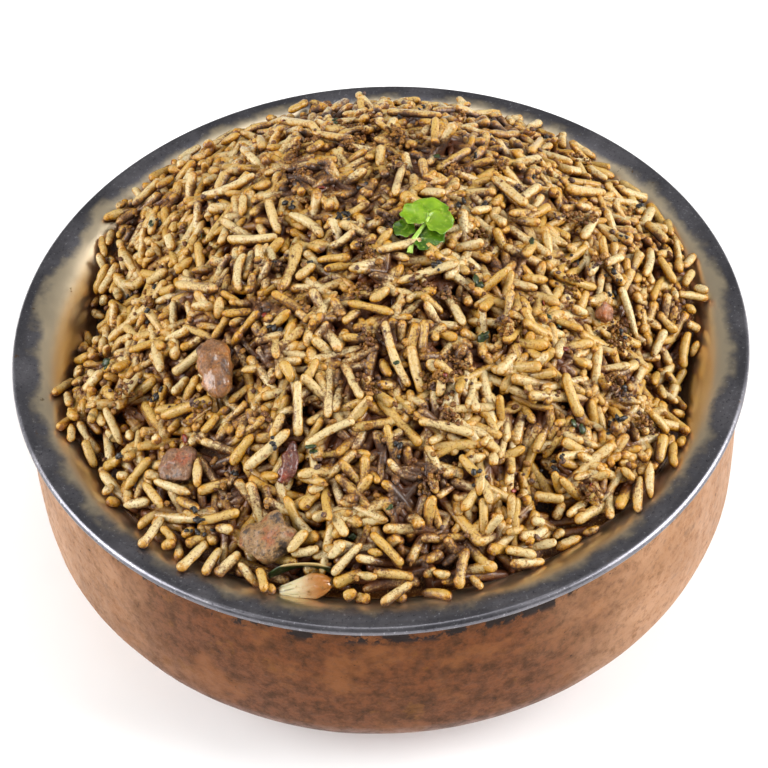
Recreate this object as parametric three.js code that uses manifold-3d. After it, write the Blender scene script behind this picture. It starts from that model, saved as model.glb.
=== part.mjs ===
// Biryani heaped in its double-walled handi bowl: a steel liner hung by its wide
// lip inside a round-bellied copper shell, the rice heap with its loose grains, and
// the meat, onion and leaves that lie on it. Millimetres, +Z up, origin at the centre
// of the flat base.

import * as THREE from 'three';
import { mergeVertices } from 'three/addons/utils/BufferGeometryUtils.js';
import Module from 'manifold-3d';

const wasm = await Module();
wasm.setup();

// ---------- driving dimensions ----------

const RIM_RADIUS = 82.5;
const BOWL_HEIGHT = 63;
const SHEET = 1;                 // thickness of the steel and of the copper
const GAP = 0.4;                 // air between pieces that touch
const SEGMENTS = 36;             // facets round the bowl, shared by the rice

// steel liner, in heights below the rim
const BEAD_RADIUS = 1.1;
const LIP_START_RADIUS = 80.5;   // where the flat of the rim begins to fall inward
const LIP_START_DEPTH = 0.2;
const LIP_CURVE = 11;            // radius of the soft curve from the rim into the wall
const WALL_SLOPE = THREE.MathUtils.degToRad(65);
const WALL_STRAIGHT = 20;        // straight length of the wall below the lip
const INNER_DEPTH = 51;

// copper shell
const COLLAR_RADIUS = 80.6;      // top edge, tucked under the rim's bead
const COLLAR_DEPTH = 2.8;
const NECK_RADIUS = 79.4;
const NECK_DEPTH = 5;
const BELLY_RADIUS = 82.3;
const BELLY_DEPTH = 37;
const BASE_RADIUS = 50;
const BELLY_ROUNDNESS = 1.6;     // exponent of the curve from belly to base, 2 is round

// rice heap
const HEAP_TOP = 25;             // core's top above the rim
const HEAP_CENTRE = new THREE.Vector2(4, 8);
const HEAP_FULLNESS = 2.2;       // exponent of the dome, 2 is a parabola
const CONTACT_DEPTH = 3.2;       // where the rice meets the liner, below the rim
const LUMP_HEIGHT = 0.9;

// places round the edge where the rice falls away from the wall or rises over the lip:
// bowl angle in degrees, half width in degrees, added depth in mm
const EDGE_DIPS = [
  { angle: 172, spread: 15, depth: 9 },
  { angle: -15, spread: 11, depth: 6.5 },
  { angle: -152, spread: 5, depth: 4.5 },
  { angle: -59, spread: 5, depth: 4 },
  { angle: 85, spread: 45, depth: -1.4 },
];

// hollows between the heap and the wall that stay open up to the rim
const HOLLOWS = [
  new THREE.Box3(new THREE.Vector3(-69.5, 0, 58), new THREE.Vector3(-62.5, 20, 66)),
  new THREE.Box3(new THREE.Vector3(63.5, -20, 58), new THREE.Vector3(70, -12, 66)),
];

// cooked long-grain rice
const GRAIN_PLACES = 240;        // evenly spread; the few that are not free stay bare
const GRAIN_WIDTH = 2.35;
const GRAIN_LENGTH_MIN = 10;
const GRAIN_LENGTH_MAX = 16.5;
const GRAIN_SIDES = 4;
const STEEP_SHARE = 0.08;        // grains that stick up out of the heap
const CRUMB_COUNT = 14;          // lumps of masala and charred herb
const CRUMB_SIZE = 1.9;
const CRUMB_ROUGHNESS = 0.22;
const TOPPING_CLEARANCE = 0.8;

// ---------- materials ----------

const material = (name, color, roughness, metalness) =>
  new THREE.MeshStandardMaterial({ name, color, roughness, metalness });

const steel = material('steel', '#6f6e72', 0.35, 1);
const copper = material('copper', '#a9714e', 0.6, 0.8);
const rice = material('rice', '#c9a052', 0.6, 0);
const meat = material('meat', '#8d5a3a', 0.45, 0);
const onion = material('onion', '#c98b45', 0.25, 0);
const herb = material('herb', '#5f9a1c', 0.45, 0);
const driedLeaf = material('dried_leaf', '#2c4420', 0.4, 0);

// ---------- random numbers, the same each run ----------

function seededRandom(seed) {
  let state = seed >>> 0;
  return () => {
    state = (state + 0x6d2b79f5) >>> 0;
    let mixed = Math.imul(state ^ (state >>> 15), state | 1);
    mixed ^= mixed + Math.imul(mixed ^ (mixed >>> 7), mixed | 61);
    return ((mixed ^ (mixed >>> 14)) >>> 0) / 4294967296;
  };
}

// ---------- solids ----------

// Merges shared vertices, drops triangles with no area and turns the faces outward.
function closedGeometry(source) {
  const bare = new THREE.BufferGeometry();
  bare.setAttribute('position', source.getAttribute('position').clone());
  bare.setIndex(source.getIndex());
  const merged = mergeVertices(bare, 1e-4);
  const points = merged.getAttribute('position');
  const corners = merged.getIndex().array;
  const kept = [];
  for (let i = 0; i < corners.length; i += 3) {
    const [a, b, c] = [corners[i], corners[i + 1], corners[i + 2]];
    if (a !== b && b !== c && c !== a) kept.push(a, b, c);
  }
  if (signedVolume(points, kept) < 0) {
    for (let i = 0; i < kept.length; i += 3) {
      [kept[i + 1], kept[i + 2]] = [kept[i + 2], kept[i + 1]];
    }
  }
  merged.setIndex(kept);
  return merged;
}

function signedVolume(points, corners) {
  const [a, b, c] = [new THREE.Vector3(), new THREE.Vector3(), new THREE.Vector3()];
  let volume = 0;
  for (let i = 0; i < corners.length; i += 3) {
    a.fromBufferAttribute(points, corners[i]);
    b.fromBufferAttribute(points, corners[i + 1]);
    c.fromBufferAttribute(points, corners[i + 2]);
    volume += a.dot(b.cross(c)) / 6;
  }
  return volume;
}

function toManifold(source) {
  const geometry = closedGeometry(source);
  const mesh = new wasm.Mesh({
    numProp: 3,
    vertProperties: new Float32Array(geometry.getAttribute('position').array),
    triVerts: new Uint32Array(geometry.getIndex().array),
  });
  return new wasm.Manifold(mesh);
}

// The largest outer skin of a solid, as a geometry: sealed hollows and scraps are dropped.
function toGeometry(solid) {
  const mesh = solid.getMesh();
  const geometry = new THREE.BufferGeometry();
  geometry.setAttribute('position', new THREE.BufferAttribute(mesh.vertProperties, 3));
  geometry.setIndex(Array.from(mesh.triVerts));
  const merged = mergeVertices(geometry, 1e-5);
  const points = merged.getAttribute('position');
  const skins = connectedSkins(merged.getIndex().array, points.count);
  skins.sort((a, b) => signedVolume(points, b) - signedVolume(points, a));
  merged.setIndex(skins[0]);
  return merged;
}

function connectedSkins(corners, pointCount) {
  const parent = Array.from({ length: pointCount }, (_, i) => i);
  const root = (i) => {
    while (parent[i] !== i) {
      parent[i] = parent[parent[i]];
      i = parent[i];
    }
    return i;
  };
  for (let i = 0; i < corners.length; i += 3) {
    parent[root(corners[i + 1])] = root(corners[i]);
    parent[root(corners[i + 2])] = root(corners[i]);
  }
  const skins = new Map();
  for (let i = 0; i < corners.length; i += 3) {
    const key = root(corners[i]);
    if (!skins.has(key)) skins.set(key, []);
    skins.get(key).push(corners[i], corners[i + 1], corners[i + 2]);
  }
  return [...skins.values()];
}

function turned(profile) {
  const outline = profile.map(([radius, height]) => new THREE.Vector2(radius, height));
  return new THREE.LatheGeometry(outline, SEGMENTS).rotateX(Math.PI / 2);
}

// A closed skin over rings of equal count, with one point at each end.
function ringStack(firstPoint, rings, lastPoint) {
  const count = rings[0].length;
  const points = [firstPoint, ...rings.flat(), lastPoint];
  const last = points.length - 1;
  const at = (ring, i) => 1 + ring * count + (i % count);
  const corners = [];
  for (let i = 0; i < count; i += 1) {
    corners.push(0, at(0, i), at(0, i + 1));
    for (let ring = 0; ring + 1 < rings.length; ring += 1) {
      corners.push(at(ring, i), at(ring + 1, i), at(ring + 1, i + 1));
      corners.push(at(ring, i), at(ring + 1, i + 1), at(ring, i + 1));
    }
    corners.push(last, at(rings.length - 1, i + 1), at(rings.length - 1, i));
  }
  const geometry = new THREE.BufferGeometry().setFromPoints(points);
  geometry.setIndex(corners);
  return geometry;
}

// ---------- bowl ----------

const LIP_STEPS = 5;
const OUTER_LIP_STEPS = 3;
const FLOOR_STEPS = 2;

const LIP_END_RADIUS = LIP_START_RADIUS - LIP_CURVE * Math.sin(WALL_SLOPE);
const LIP_END_DEPTH = LIP_START_DEPTH + LIP_CURVE * (1 - Math.cos(WALL_SLOPE));
const WALL_END_RADIUS = LIP_END_RADIUS - WALL_STRAIGHT * Math.cos(WALL_SLOPE);
const WALL_END_DEPTH = LIP_END_DEPTH + WALL_STRAIGHT * Math.sin(WALL_SLOPE);
const FLOOR_CURVE = (INNER_DEPTH - WALL_END_DEPTH) / (1 - Math.cos(WALL_SLOPE));
const FLOOR_RADIUS = WALL_END_RADIUS - FLOOR_CURVE * Math.sin(WALL_SLOPE);

// The liner's inner face from the rim to the edge of its flat floor, moved outward
// by a distance: a list of [radius, depth below the rim, slope].
function linerFace(outward, lipSteps, floorSteps) {
  const face = [];
  const push = (radius, depth, slope) => face.push([
    radius + outward * Math.sin(slope),
    depth + outward * Math.cos(slope),
    slope,
  ]);
  for (let i = 0; i <= lipSteps; i += 1) {
    const slope = (WALL_SLOPE * i) / lipSteps;
    push(
      LIP_START_RADIUS - LIP_CURVE * Math.sin(slope),
      LIP_START_DEPTH + LIP_CURVE * (1 - Math.cos(slope)),
      slope,
    );
  }
  for (let i = 0; i <= floorSteps; i += 1) {
    const slope = WALL_SLOPE * (1 - i / floorSteps);
    push(
      FLOOR_RADIUS + FLOOR_CURVE * Math.sin(slope),
      INNER_DEPTH - FLOOR_CURVE * (1 - Math.cos(slope)),
      slope,
    );
  }
  return face;
}

// Radius of the liner's inner face at a depth below the rim.
function wallRadius(depth) {
  if (depth < LIP_END_DEPTH) {
    const drop = (depth - LIP_START_DEPTH) / LIP_CURVE;
    return LIP_START_RADIUS - LIP_CURVE * Math.sqrt(Math.max(0, 1 - (1 - drop) ** 2));
  }
  if (depth < WALL_END_DEPTH) {
    return LIP_END_RADIUS - (depth - LIP_END_DEPTH) / Math.tan(WALL_SLOPE);
  }
  const rise = Math.min(1, (INNER_DEPTH - depth) / FLOOR_CURVE);
  return FLOOR_RADIUS + FLOOR_CURVE * Math.sqrt(Math.max(0, 1 - (1 - rise) ** 2));
}

function steelBowl() {
  const height = (depth) => BOWL_HEIGHT - depth;
  const beadCentre = RIM_RADIUS - BEAD_RADIUS;
  const inner = linerFace(0, LIP_STEPS, FLOOR_STEPS).map(([r, depth]) => [r, height(depth)]);
  const outer = linerFace(SHEET, OUTER_LIP_STEPS, FLOOR_STEPS)
    .map(([r, depth]) => [r, height(depth)]);
  const bead = [];
  for (let degrees = -90; degrees <= 90; degrees += 45) {
    const angle = THREE.MathUtils.degToRad(degrees);
    bead.push([
      beadCentre + BEAD_RADIUS * Math.cos(angle),
      height(BEAD_RADIUS) + BEAD_RADIUS * Math.sin(angle),
    ]);
  }
  const floor = height(INNER_DEPTH);
  return turned([
    [0, floor - SHEET],
    ...outer.reverse(),
    ...bead,
    ...inner,
    [0, floor],
  ]);
}

// The shell's outer profile from base to collar, shrunk by a distance.
function shellFace(inset, curveSteps, shoulderSteps) {
  const bellyHeight = BOWL_HEIGHT - BELLY_DEPTH;
  const face = [];
  for (let i = 0; i <= curveSteps; i += 1) {
    const turn = (i / curveSteps) * (Math.PI / 2);
    const across = Math.sin(turn) ** (2 / BELLY_ROUNDNESS);
    const down = Math.cos(turn) ** (2 / BELLY_ROUNDNESS);
    face.push([
      BASE_RADIUS + (BELLY_RADIUS - BASE_RADIUS) * across - inset,
      bellyHeight - (bellyHeight - inset) * down,
    ]);
  }
  const shoulder = new THREE.QuadraticBezierCurve(
    new THREE.Vector2(BELLY_RADIUS - inset, bellyHeight),
    new THREE.Vector2(BELLY_RADIUS - inset, (bellyHeight + BOWL_HEIGHT - NECK_DEPTH) / 2),
    new THREE.Vector2(NECK_RADIUS - inset, BOWL_HEIGHT - NECK_DEPTH),
  );
  const [, ...upper] = shoulder.getPoints(shoulderSteps);
  upper.forEach(({ x, y }) => face.push([x, y]));
  face.push([COLLAR_RADIUS - inset, BOWL_HEIGHT - COLLAR_DEPTH]);
  return face;
}

function copperShell() {
  const outer = shellFace(0, 6, 3);
  const inner = shellFace(SHEET, 3, 1).reverse();
  return turned([[0, 0], ...outer, ...inner, [0, SHEET]]);
}

// ---------- rice heap ----------

function contactDepth(degrees) {
  return EDGE_DIPS.reduce((depth, dip) => {
    const away = THREE.MathUtils.euclideanModulo(degrees - dip.angle + 180, 360) - 180;
    return depth + dip.depth * Math.exp(-((away / dip.spread) ** 2));
  }, CONTACT_DEPTH);
}

function lumps(x, y) {
  const broad = Math.sin(x / 8.5 + 0.8) * Math.cos(y / 9.5 - 0.5);
  const narrow = Math.sin((x + 1.3 * y) / 6 + 1.9) * Math.cos((x - 0.7 * y) / 7.5);
  return LUMP_HEIGHT * (broad + 0.7 * narrow);
}

// A point of the core's top skin: reach is 0 at the heap's centre and 1 at the wall.
function heapPoint(degrees, reach, lift = 0) {
  const depth = contactDepth(degrees);
  const angle = THREE.MathUtils.degToRad(degrees);
  const edge = new THREE.Vector2(Math.cos(angle), Math.sin(angle));
  edge.multiplyScalar(wallRadius(depth) - GAP);
  const place = HEAP_CENTRE.clone().lerp(edge, reach);
  const dome = (HEAP_TOP + depth) * (1 - reach ** HEAP_FULLNESS);
  const bumps = lumps(place.x, place.y) * (1 - reach ** 4);
  const height = BOWL_HEIGHT - depth + dome + bumps + lift;
  return new THREE.Vector3(place.x, place.y, height);
}

function heapFrame(degrees, reach) {
  const step = 0.01;
  const place = heapPoint(degrees, reach);
  const outward = heapPoint(degrees, reach + step).sub(heapPoint(degrees, reach - step));
  const round = heapPoint(degrees + 1, reach).sub(heapPoint(degrees - 1, reach));
  const normal = outward.clone().cross(round).normalize();
  return { place, normal };
}

// Everything under the heap's top skin, out past the wall, with the skin raised by a
// distance.
function heapDome(lift) {
  const angles = Array.from({ length: SEGMENTS }, (_, i) => (i * 360) / SEGMENTS);
  const reaches = [0.14, 0.3, 0.46, 0.61, 0.75, 0.88, 1.03];
  const rings = reaches.map((reach) => angles.map((a) => heapPoint(a, reach, lift)));
  rings.push(rings.at(-1).map((point) => point.clone().setZ(0)));
  return ringStack(heapPoint(0, 0, lift), rings, new THREE.Vector3());
}

// The space inside the liner, a gap short of it, and the air above the bowl.
function bowlSpace() {
  const face = linerFace(-GAP, LIP_STEPS, FLOOR_STEPS)
    .map(([radius, depth]) => [radius, BOWL_HEIGHT - depth]);
  const ceiling = BOWL_HEIGHT + 2 * HEAP_TOP;
  const brim = face[0][1];
  const floor = face.at(-1)[1];
  return turned([
    [0, ceiling],
    [RIM_RADIUS, ceiling],
    [RIM_RADIUS, brim],
    ...face,
    [0, floor],
  ]);
}

// A cooked grain along Z: full near one end, thinner at the other, with blunt tips.
function grain(length, width) {
  const half = length / 2;
  const profile = [
    [0, -half],
    [width * 0.5, -half * 0.7],
    [width * 0.4, half * 0.74],
    [0, half],
  ].map(([radius, z]) => new THREE.Vector2(radius, z));
  return new THREE.LatheGeometry(profile, GRAIN_SIDES).rotateX(Math.PI / 2);
}

function placed(geometry, position, direction, spin) {
  const axis = new THREE.Vector3(0, 0, 1);
  const turn = new THREE.Quaternion().setFromUnitVectors(axis, direction);
  turn.multiply(new THREE.Quaternion().setFromAxisAngle(axis, spin));
  return geometry.applyQuaternion(turn).translate(position.x, position.y, position.z);
}

// The corners and the edge middles of a loose piece.
function samples(geometry) {
  const points = geometry.getAttribute('position');
  const corners = geometry.getIndex().array;
  const corner = (i) => new THREE.Vector3().fromBufferAttribute(points, corners[i]);
  const found = [];
  for (let i = 0; i < corners.length; i += 1) {
    const next = i % 3 === 2 ? i - 2 : i + 1;
    found.push(corner(i), corner(i).lerp(corner(next), 0.5));
  }
  return found;
}

function hitsBowl(point) {
  const depth = BOWL_HEIGHT - point.z + GAP;
  return depth > LIP_START_DEPTH && Math.hypot(point.x, point.y) > wallRadius(depth) - GAP;
}

function hitsTopping(point) {
  return toppings.some(({ place, size, turn }) => {
    const local = point.clone().sub(place).applyQuaternion(turn.clone().invert());
    const shares = local.toArray().map((side, k) => side / (size[k] / 2 + TOPPING_CLEARANCE));
    return shares.reduce((sum, share) => sum + share ** 4, 0) < 1;
  });
}

function isClear(geometry) {
  return samples(geometry).every((point) => (
    !hitsBowl(point) && !hitsTopping(point) && !HOLLOWS.some((box) => box.containsPoint(point))
  ));
}

// Spreads places evenly over the heap, by the golden angle.
function evenPlace(i, count, random) {
  const goldenAngle = 137.508;
  const degrees = i * goldenAngle + 6 * (random() - 0.5);
  const reach = Math.sqrt((i + 0.5) / count) * 0.99;
  return heapFrame(degrees, reach);
}

// Points along a grain's middle, to keep it clear of its neighbours.
function spine(centre, direction, length) {
  return [-0.42, -0.2, 0, 0.2, 0.42].map(
    (along) => centre.clone().addScaledVector(direction, along * length),
  );
}

function lyingGrain(place, normal, length, width, random) {
  const heading = random() * Math.PI * 2;
  const steep = random() < STEEP_SHARE;
  const tilt = steep ? 0.35 + 0.4 * random() : 0.2 * (random() - 0.5);
  const sideways = new THREE.Vector3(Math.cos(heading), Math.sin(heading), 0);
  sideways.addScaledVector(normal, -sideways.dot(normal)).normalize();
  const direction = sideways.multiplyScalar(Math.cos(tilt));
  direction.addScaledVector(normal, Math.sin(tilt)).normalize();
  const rise = width * 0.2 + (steep ? length * 0.12 : 0);
  const centre = place.clone().addScaledVector(normal, rise);
  const geometry = placed(grain(length, width), centre, direction, random() * Math.PI * 2);
  return { geometry, spine: spine(centre, direction, length) };
}

// Grains lie at random headings; each place gets a few tries to find one that is free.
function looseGrains() {
  const random = seededRandom(11);
  const tries = 9;
  const grains = [];
  const isFree = (one) => grains.every((other) => one.spine.every(
    (a) => other.spine.every((b) => a.distanceTo(b) > GRAIN_WIDTH * 0.98),
  ));
  for (let i = 0; i < GRAIN_PLACES; i += 1) {
    const { place, normal } = evenPlace(i, GRAIN_PLACES, random);
    const length = THREE.MathUtils.lerp(GRAIN_LENGTH_MIN, GRAIN_LENGTH_MAX, random() ** 1.6);
    const width = GRAIN_WIDTH * (0.9 + 0.2 * random());
    for (let attempt = 0; attempt < tries; attempt += 1) {
      const one = lyingGrain(place, normal, length, width, random);
      if (isFree(one) && isClear(one.geometry)) {
        grains.push(one);
        break;
      }
    }
  }
  return grains.map((one) => one.geometry);
}

function masalaCrumbs() {
  const random = seededRandom(29);
  const crumbs = [];
  for (let i = 0; i < CRUMB_COUNT; i += 1) {
    const { place, normal } = evenPlace(i, CRUMB_COUNT, random);
    const size = CRUMB_SIZE * (0.7 + 0.7 * random());
    const centre = place.clone().addScaledVector(normal, size * 0.45);
    const shape = roundedChunk([2 * size, 1.6 * size, 1.3 * size], 0, CRUMB_ROUGHNESS, 60 + i, 2.2);
    const geometry = placed(shape, centre, normal, random() * Math.PI * 2);
    if (isClear(geometry)) crumbs.push(geometry);
  }
  return crumbs;
}

const inBowl = toManifold(bowlSpace());

function riceHeap() {
  const core = toManifold(heapDome(0)).intersect(inBowl);
  const pieces = [...looseGrains(), ...masalaCrumbs()].map(toManifold);
  return toGeometry(wasm.Manifold.union([core, ...pieces]));
}

// ---------- toppings ----------

// An uneven block with rounded corners: squareness 2 is an egg, higher is boxier.
function roundedChunk(size, detail, roughness, seed, squareness) {
  const random = seededRandom(seed);
  const waves = Array.from({ length: 4 }, () => ({
    way: new THREE.Vector3(random() - 0.5, random() - 0.5, random() - 0.5).multiplyScalar(7),
    shift: random() * Math.PI * 2,
  }));
  const geometry = mergeVertices(bareIcosahedron(detail), 1e-4);
  const points = geometry.getAttribute('position');
  const point = new THREE.Vector3();
  for (let i = 0; i < points.count; i += 1) {
    point.fromBufferAttribute(points, i);
    const power = ['x', 'y', 'z'].reduce((sum, k) => sum + Math.abs(point[k]) ** squareness, 0);
    const swell = waves.reduce((sum, { way, shift }) => sum + Math.sin(point.dot(way) + shift), 0);
    point.multiplyScalar(power ** (-1 / squareness) * (1 + (roughness * swell) / 4) * 0.5);
    points.setXYZ(i, point.x * size[0], point.y * size[1], point.z * size[2]);
  }
  return geometry;
}

function bareIcosahedron(detail) {
  const ball = new THREE.IcosahedronGeometry(1, detail);
  ball.deleteAttribute('normal');
  ball.deleteAttribute('uv');
  return ball;
}

// Where the heap's core lies under a point of the plan.
function heapAt(x, y) {
  let [degrees, reach] = [0, 0];
  const target = new THREE.Vector2(x, y);
  for (let i = 0; i < 12; i += 1) {
    const edge = heapPoint(degrees, 1);
    const out = new THREE.Vector2(edge.x, edge.y).sub(HEAP_CENTRE);
    const want = target.clone().sub(HEAP_CENTRE);
    reach = want.length() / out.length();
    degrees += THREE.MathUtils.radToDeg(want.angle() - out.angle());
  }
  return heapFrame(degrees, Math.max(0.011, reach));
}

// Seats a topping on the heap: x and y in plan, its long side turned by heading in
// degrees, its middle raised by rise along the heap's normal.
function seat(name, x, y, size, heading, rise) {
  const { place, normal } = heapAt(x, y);
  const angle = THREE.MathUtils.degToRad(heading);
  const long = new THREE.Vector3(Math.cos(angle), Math.sin(angle), 0);
  long.addScaledVector(normal, -long.dot(normal)).normalize();
  const across = normal.clone().cross(long);
  const basis = new THREE.Matrix4().makeBasis(long, across, normal);
  const turn = new THREE.Quaternion().setFromRotationMatrix(basis);
  return { name, size, turn, place: place.addScaledVector(normal, rise) };
}

const toppings = [
  seat('garnish_leaf', 10.3, 2.2, [13, 12, 7], 0, 3),
  seat('curry_leaf', -18.4, -66.2, [13, 3, 5], 2, 1.2),
  seat('meat_piece_left', -33.8, -25, [14, 7.5, 5], 92, 1.4),
  seat('meat_piece_front', -24, -60, [11, 9.4, 6], 35, 1.6),
  seat('onion_piece_front', -17.5, -69.3, [10.5, 5, 3], 8, 1.2),
  seat('meat_slab_left', -42.5, -42.5, [9, 7.5, 4], 70, 1.2),
  seat('meat_bit_right', 48.6, -9.7, [5, 3.8, 3], 80, 1.1),
  seat('spice_skin_front', -19.8, -47.5, [8.5, 4, 2.2], 75, 0.9),
];
const topping = (name) => toppings.find((one) => one.name === name);

// Trims a topping where it would enter the heap or the bowl, leaving the gap.
const liftedDome = toManifold(heapDome(GAP));
function onHeap(geometry, { place, turn }) {
  const moved = geometry.applyQuaternion(turn).translate(place.x, place.y, place.z);
  return toGeometry(toManifold(moved).subtract(liftedDome).intersect(inBowl));
}

function chunk(name, detail, roughness, seed, squareness) {
  const seated = topping(name);
  return onHeap(roundedChunk(seated.size, detail, roughness, seed, squareness), seated);
}

// A thin blade over a grid, the same triangles on both faces. The function place
// gives the middle skin's point for u and v from 0 to 1.
function blade(place, thickness, lengthSteps, widthSteps) {
  const across = widthSteps + 1;
  const side = (lengthSteps + 1) * across;
  const top = [];
  const bottom = [];
  for (let i = 0; i <= lengthSteps; i += 1) {
    for (let j = 0; j <= widthSteps; j += 1) {
      const [u, v] = [i / lengthSteps, j / widthSteps];
      const middle = place(u, v);
      const alongU = place(u + 0.01, v).sub(place(u - 0.01, v));
      const alongV = place(u, v + 0.01).sub(place(u, v - 0.01));
      const normal = alongU.cross(alongV).normalize();
      top.push(middle.clone().addScaledVector(normal, thickness / 2));
      bottom.push(middle.clone().addScaledVector(normal, -thickness / 2));
    }
  }
  const corners = [];
  const quad = (a, b, c, d) => corners.push(a, b, c, a, c, d);
  const at = (i, j) => i * across + j;
  for (let i = 0; i < lengthSteps; i += 1) {
    for (let j = 0; j < widthSteps; j += 1) {
      const [a, b, c, d] = [at(i, j), at(i + 1, j), at(i + 1, j + 1), at(i, j + 1)];
      quad(a, b, c, d);
      corners.push(side + a, side + c, side + b, side + a, side + d, side + c);
    }
    quad(at(i, 0), side + at(i, 0), side + at(i + 1, 0), at(i + 1, 0));
    const [e, f] = [at(i, widthSteps), at(i + 1, widthSteps)];
    quad(e, f, side + f, side + e);
  }
  for (let j = 0; j < widthSteps; j += 1) {
    quad(at(0, j), at(0, j + 1), side + at(0, j + 1), side + at(0, j));
    const [e, f] = [at(lengthSteps, j), at(lengthSteps, j + 1)];
    quad(e, side + e, side + f, f);
  }
  const geometry = new THREE.BufferGeometry().setFromPoints([...top, ...bottom]);
  geometry.setIndex(corners);
  return geometry;
}

// A leaflet from root to tip in the leaf's own plane, folded along its rib.
function leaflet(root, tip, halfWidth, fold, ripple) {
  const along = tip.clone().sub(root);
  const up = new THREE.Vector3(0, 0, 1);
  const sideways = up.clone().cross(along).normalize();
  return (u, v) => {
    const spread = 2 * v - 1;
    const width = halfWidth * (0.16 + Math.sin(Math.PI * Math.min(0.97, 0.08 + u * 0.9)));
    const point = root.clone().addScaledVector(along, u);
    point.addScaledVector(sideways, spread * width);
    point.z += fold * Math.abs(spread) + ripple * Math.sin(5 * u + 3 * spread);
    return point;
  };
}

const LEAF_THICKNESS = 0.5;
const STEM_RADIUS = 0.55;

// Fresh coriander: three leaflets and a darker one behind, on a bent stem.
function garnishLeaf() {
  const fork = new THREE.Vector3(0.6, 0.4, 0.2);
  const blades = [
    leaflet(fork, new THREE.Vector3(-4.2, 2.7, 0.7), 2.5, 0.6, 0.2),
    leaflet(fork, new THREE.Vector3(3.4, 6, 1.2), 3.5, 0.4, 0.25),
    leaflet(fork, new THREE.Vector3(5.4, -3.6, -0.6), 2.9, 0.4, 0.25),
    leaflet(new THREE.Vector3(-1.9, -1.6, -1.4), new THREE.Vector3(-6.2, -1.4, -1.7), 2.2, 0.4, 0.2),
  ].map((place) => toManifold(blade(place, LEAF_THICKNESS, 4, 2)));
  const stalk = new THREE.CatmullRomCurve3([
    new THREE.Vector3(2.4, 3, 0.5),
    new THREE.Vector3(0.6, 0.4, 0.1),
    new THREE.Vector3(-1.4, -2.2, -0.8),
    new THREE.Vector3(-3.4, -6.4, -2.6),
  ]);
  const section = new THREE.Shape().absarc(0, 0, STEM_RADIUS, 0, Math.PI * 2);
  const stem = new THREE.ExtrudeGeometry(section, {
    steps: 4, curveSegments: 2, bevelEnabled: false, extrudePath: stalk,
  });
  const whole = wasm.Manifold.union([...blades, toManifold(indexed(stem))]);
  return onHeap(toGeometry(whole), topping('garnish_leaf'));
}

function indexed(geometry) {
  geometry.deleteAttribute('normal');
  geometry.deleteAttribute('uv');
  return mergeVertices(geometry, 1e-4);
}

// A dried curry leaf standing on its edge, arched over the rice.
function curryLeaf() {
  const seated = topping('curry_leaf');
  const [length, , height] = seated.size;
  const place = (u, v) => {
    const bend = Math.sin(Math.PI * u);
    const taper = 0.25 + 0.75 * bend;
    return new THREE.Vector3(
      length * (u - 0.5),
      1.6 * bend - 0.8 + 0.9 * (v - 0.5),
      height * ((v - 0.5) * taper + 0.1 * bend),
    );
  };
  return onHeap(blade(place, LEAF_THICKNESS, 8, 2), seated);
}

// A curled wedge of fried onion: thick at its root, thinning to the rim side.
function onionPiece() {
  const seated = topping('onion_piece_front');
  const [length, width, height] = seated.size;
  const place = (u, v) => {
    const taper = 1 - 0.72 * Math.abs(u - 0.68) / 0.68;
    return new THREE.Vector3(
      length * (u - 0.5),
      width * (v - 0.5) * taper,
      height * (0.22 * Math.sin(Math.PI * v) + 0.25 * u * (1 - v)),
    );
  };
  return onHeap(blade(place, height * 0.45, 6, 3), seated);
}

// ---------- assembly ----------

const group = new THREE.Group();

function addPiece(name, geometry, finish) {
  const mesh = new THREE.Mesh(closedGeometry(geometry), finish);
  mesh.name = name;
  group.add(mesh);
}

addPiece('copper_shell', copperShell(), copper);
addPiece('steel_bowl', steelBowl(), steel);
addPiece('rice_heap', riceHeap(), rice);
addPiece('garnish_leaf', garnishLeaf(), herb);
addPiece('curry_leaf', curryLeaf(), driedLeaf);
addPiece('meat_piece_left', chunk('meat_piece_left', 1, 0.16, 3, 3.2), meat);
addPiece('meat_piece_front', chunk('meat_piece_front', 1, 0.2, 5, 3), meat);
addPiece('onion_piece_front', onionPiece(), onion);
addPiece('meat_slab_left', chunk('meat_slab_left', 1, 0.18, 8, 3.4), meat);
addPiece('meat_bit_right', chunk('meat_bit_right', 1, 0.16, 13, 3), meat);
addPiece('spice_skin_front', chunk('spice_skin_front', 1, 0.2, 21, 2.4), meat);

export default group;
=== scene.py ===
"""Biryani heaped in its double-walled handi bowl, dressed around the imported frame.

Driving dimensions are millimetres in the frame's own axes: +Z up, origin at the centre
of the flat base, -Y towards the camera. MM turns them into metres as meshes are made.
"""

import math

import bmesh
import bpy
import numpy as np
from mathutils import Matrix, Vector


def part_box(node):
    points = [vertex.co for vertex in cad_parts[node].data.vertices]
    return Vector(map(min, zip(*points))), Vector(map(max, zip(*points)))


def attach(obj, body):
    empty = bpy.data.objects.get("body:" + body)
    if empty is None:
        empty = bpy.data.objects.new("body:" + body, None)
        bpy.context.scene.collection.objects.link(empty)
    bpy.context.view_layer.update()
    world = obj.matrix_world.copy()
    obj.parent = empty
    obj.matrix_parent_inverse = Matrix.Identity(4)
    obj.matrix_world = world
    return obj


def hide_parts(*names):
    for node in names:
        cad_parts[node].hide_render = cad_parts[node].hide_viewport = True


MM = 0.001

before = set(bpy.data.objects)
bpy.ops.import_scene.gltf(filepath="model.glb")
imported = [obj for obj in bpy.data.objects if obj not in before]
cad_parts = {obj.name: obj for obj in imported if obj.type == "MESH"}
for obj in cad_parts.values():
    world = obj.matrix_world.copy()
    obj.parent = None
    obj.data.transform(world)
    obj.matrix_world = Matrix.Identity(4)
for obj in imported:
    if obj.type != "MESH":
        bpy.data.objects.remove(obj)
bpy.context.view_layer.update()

# ---------- driving dimensions, in millimetres ----------

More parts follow.
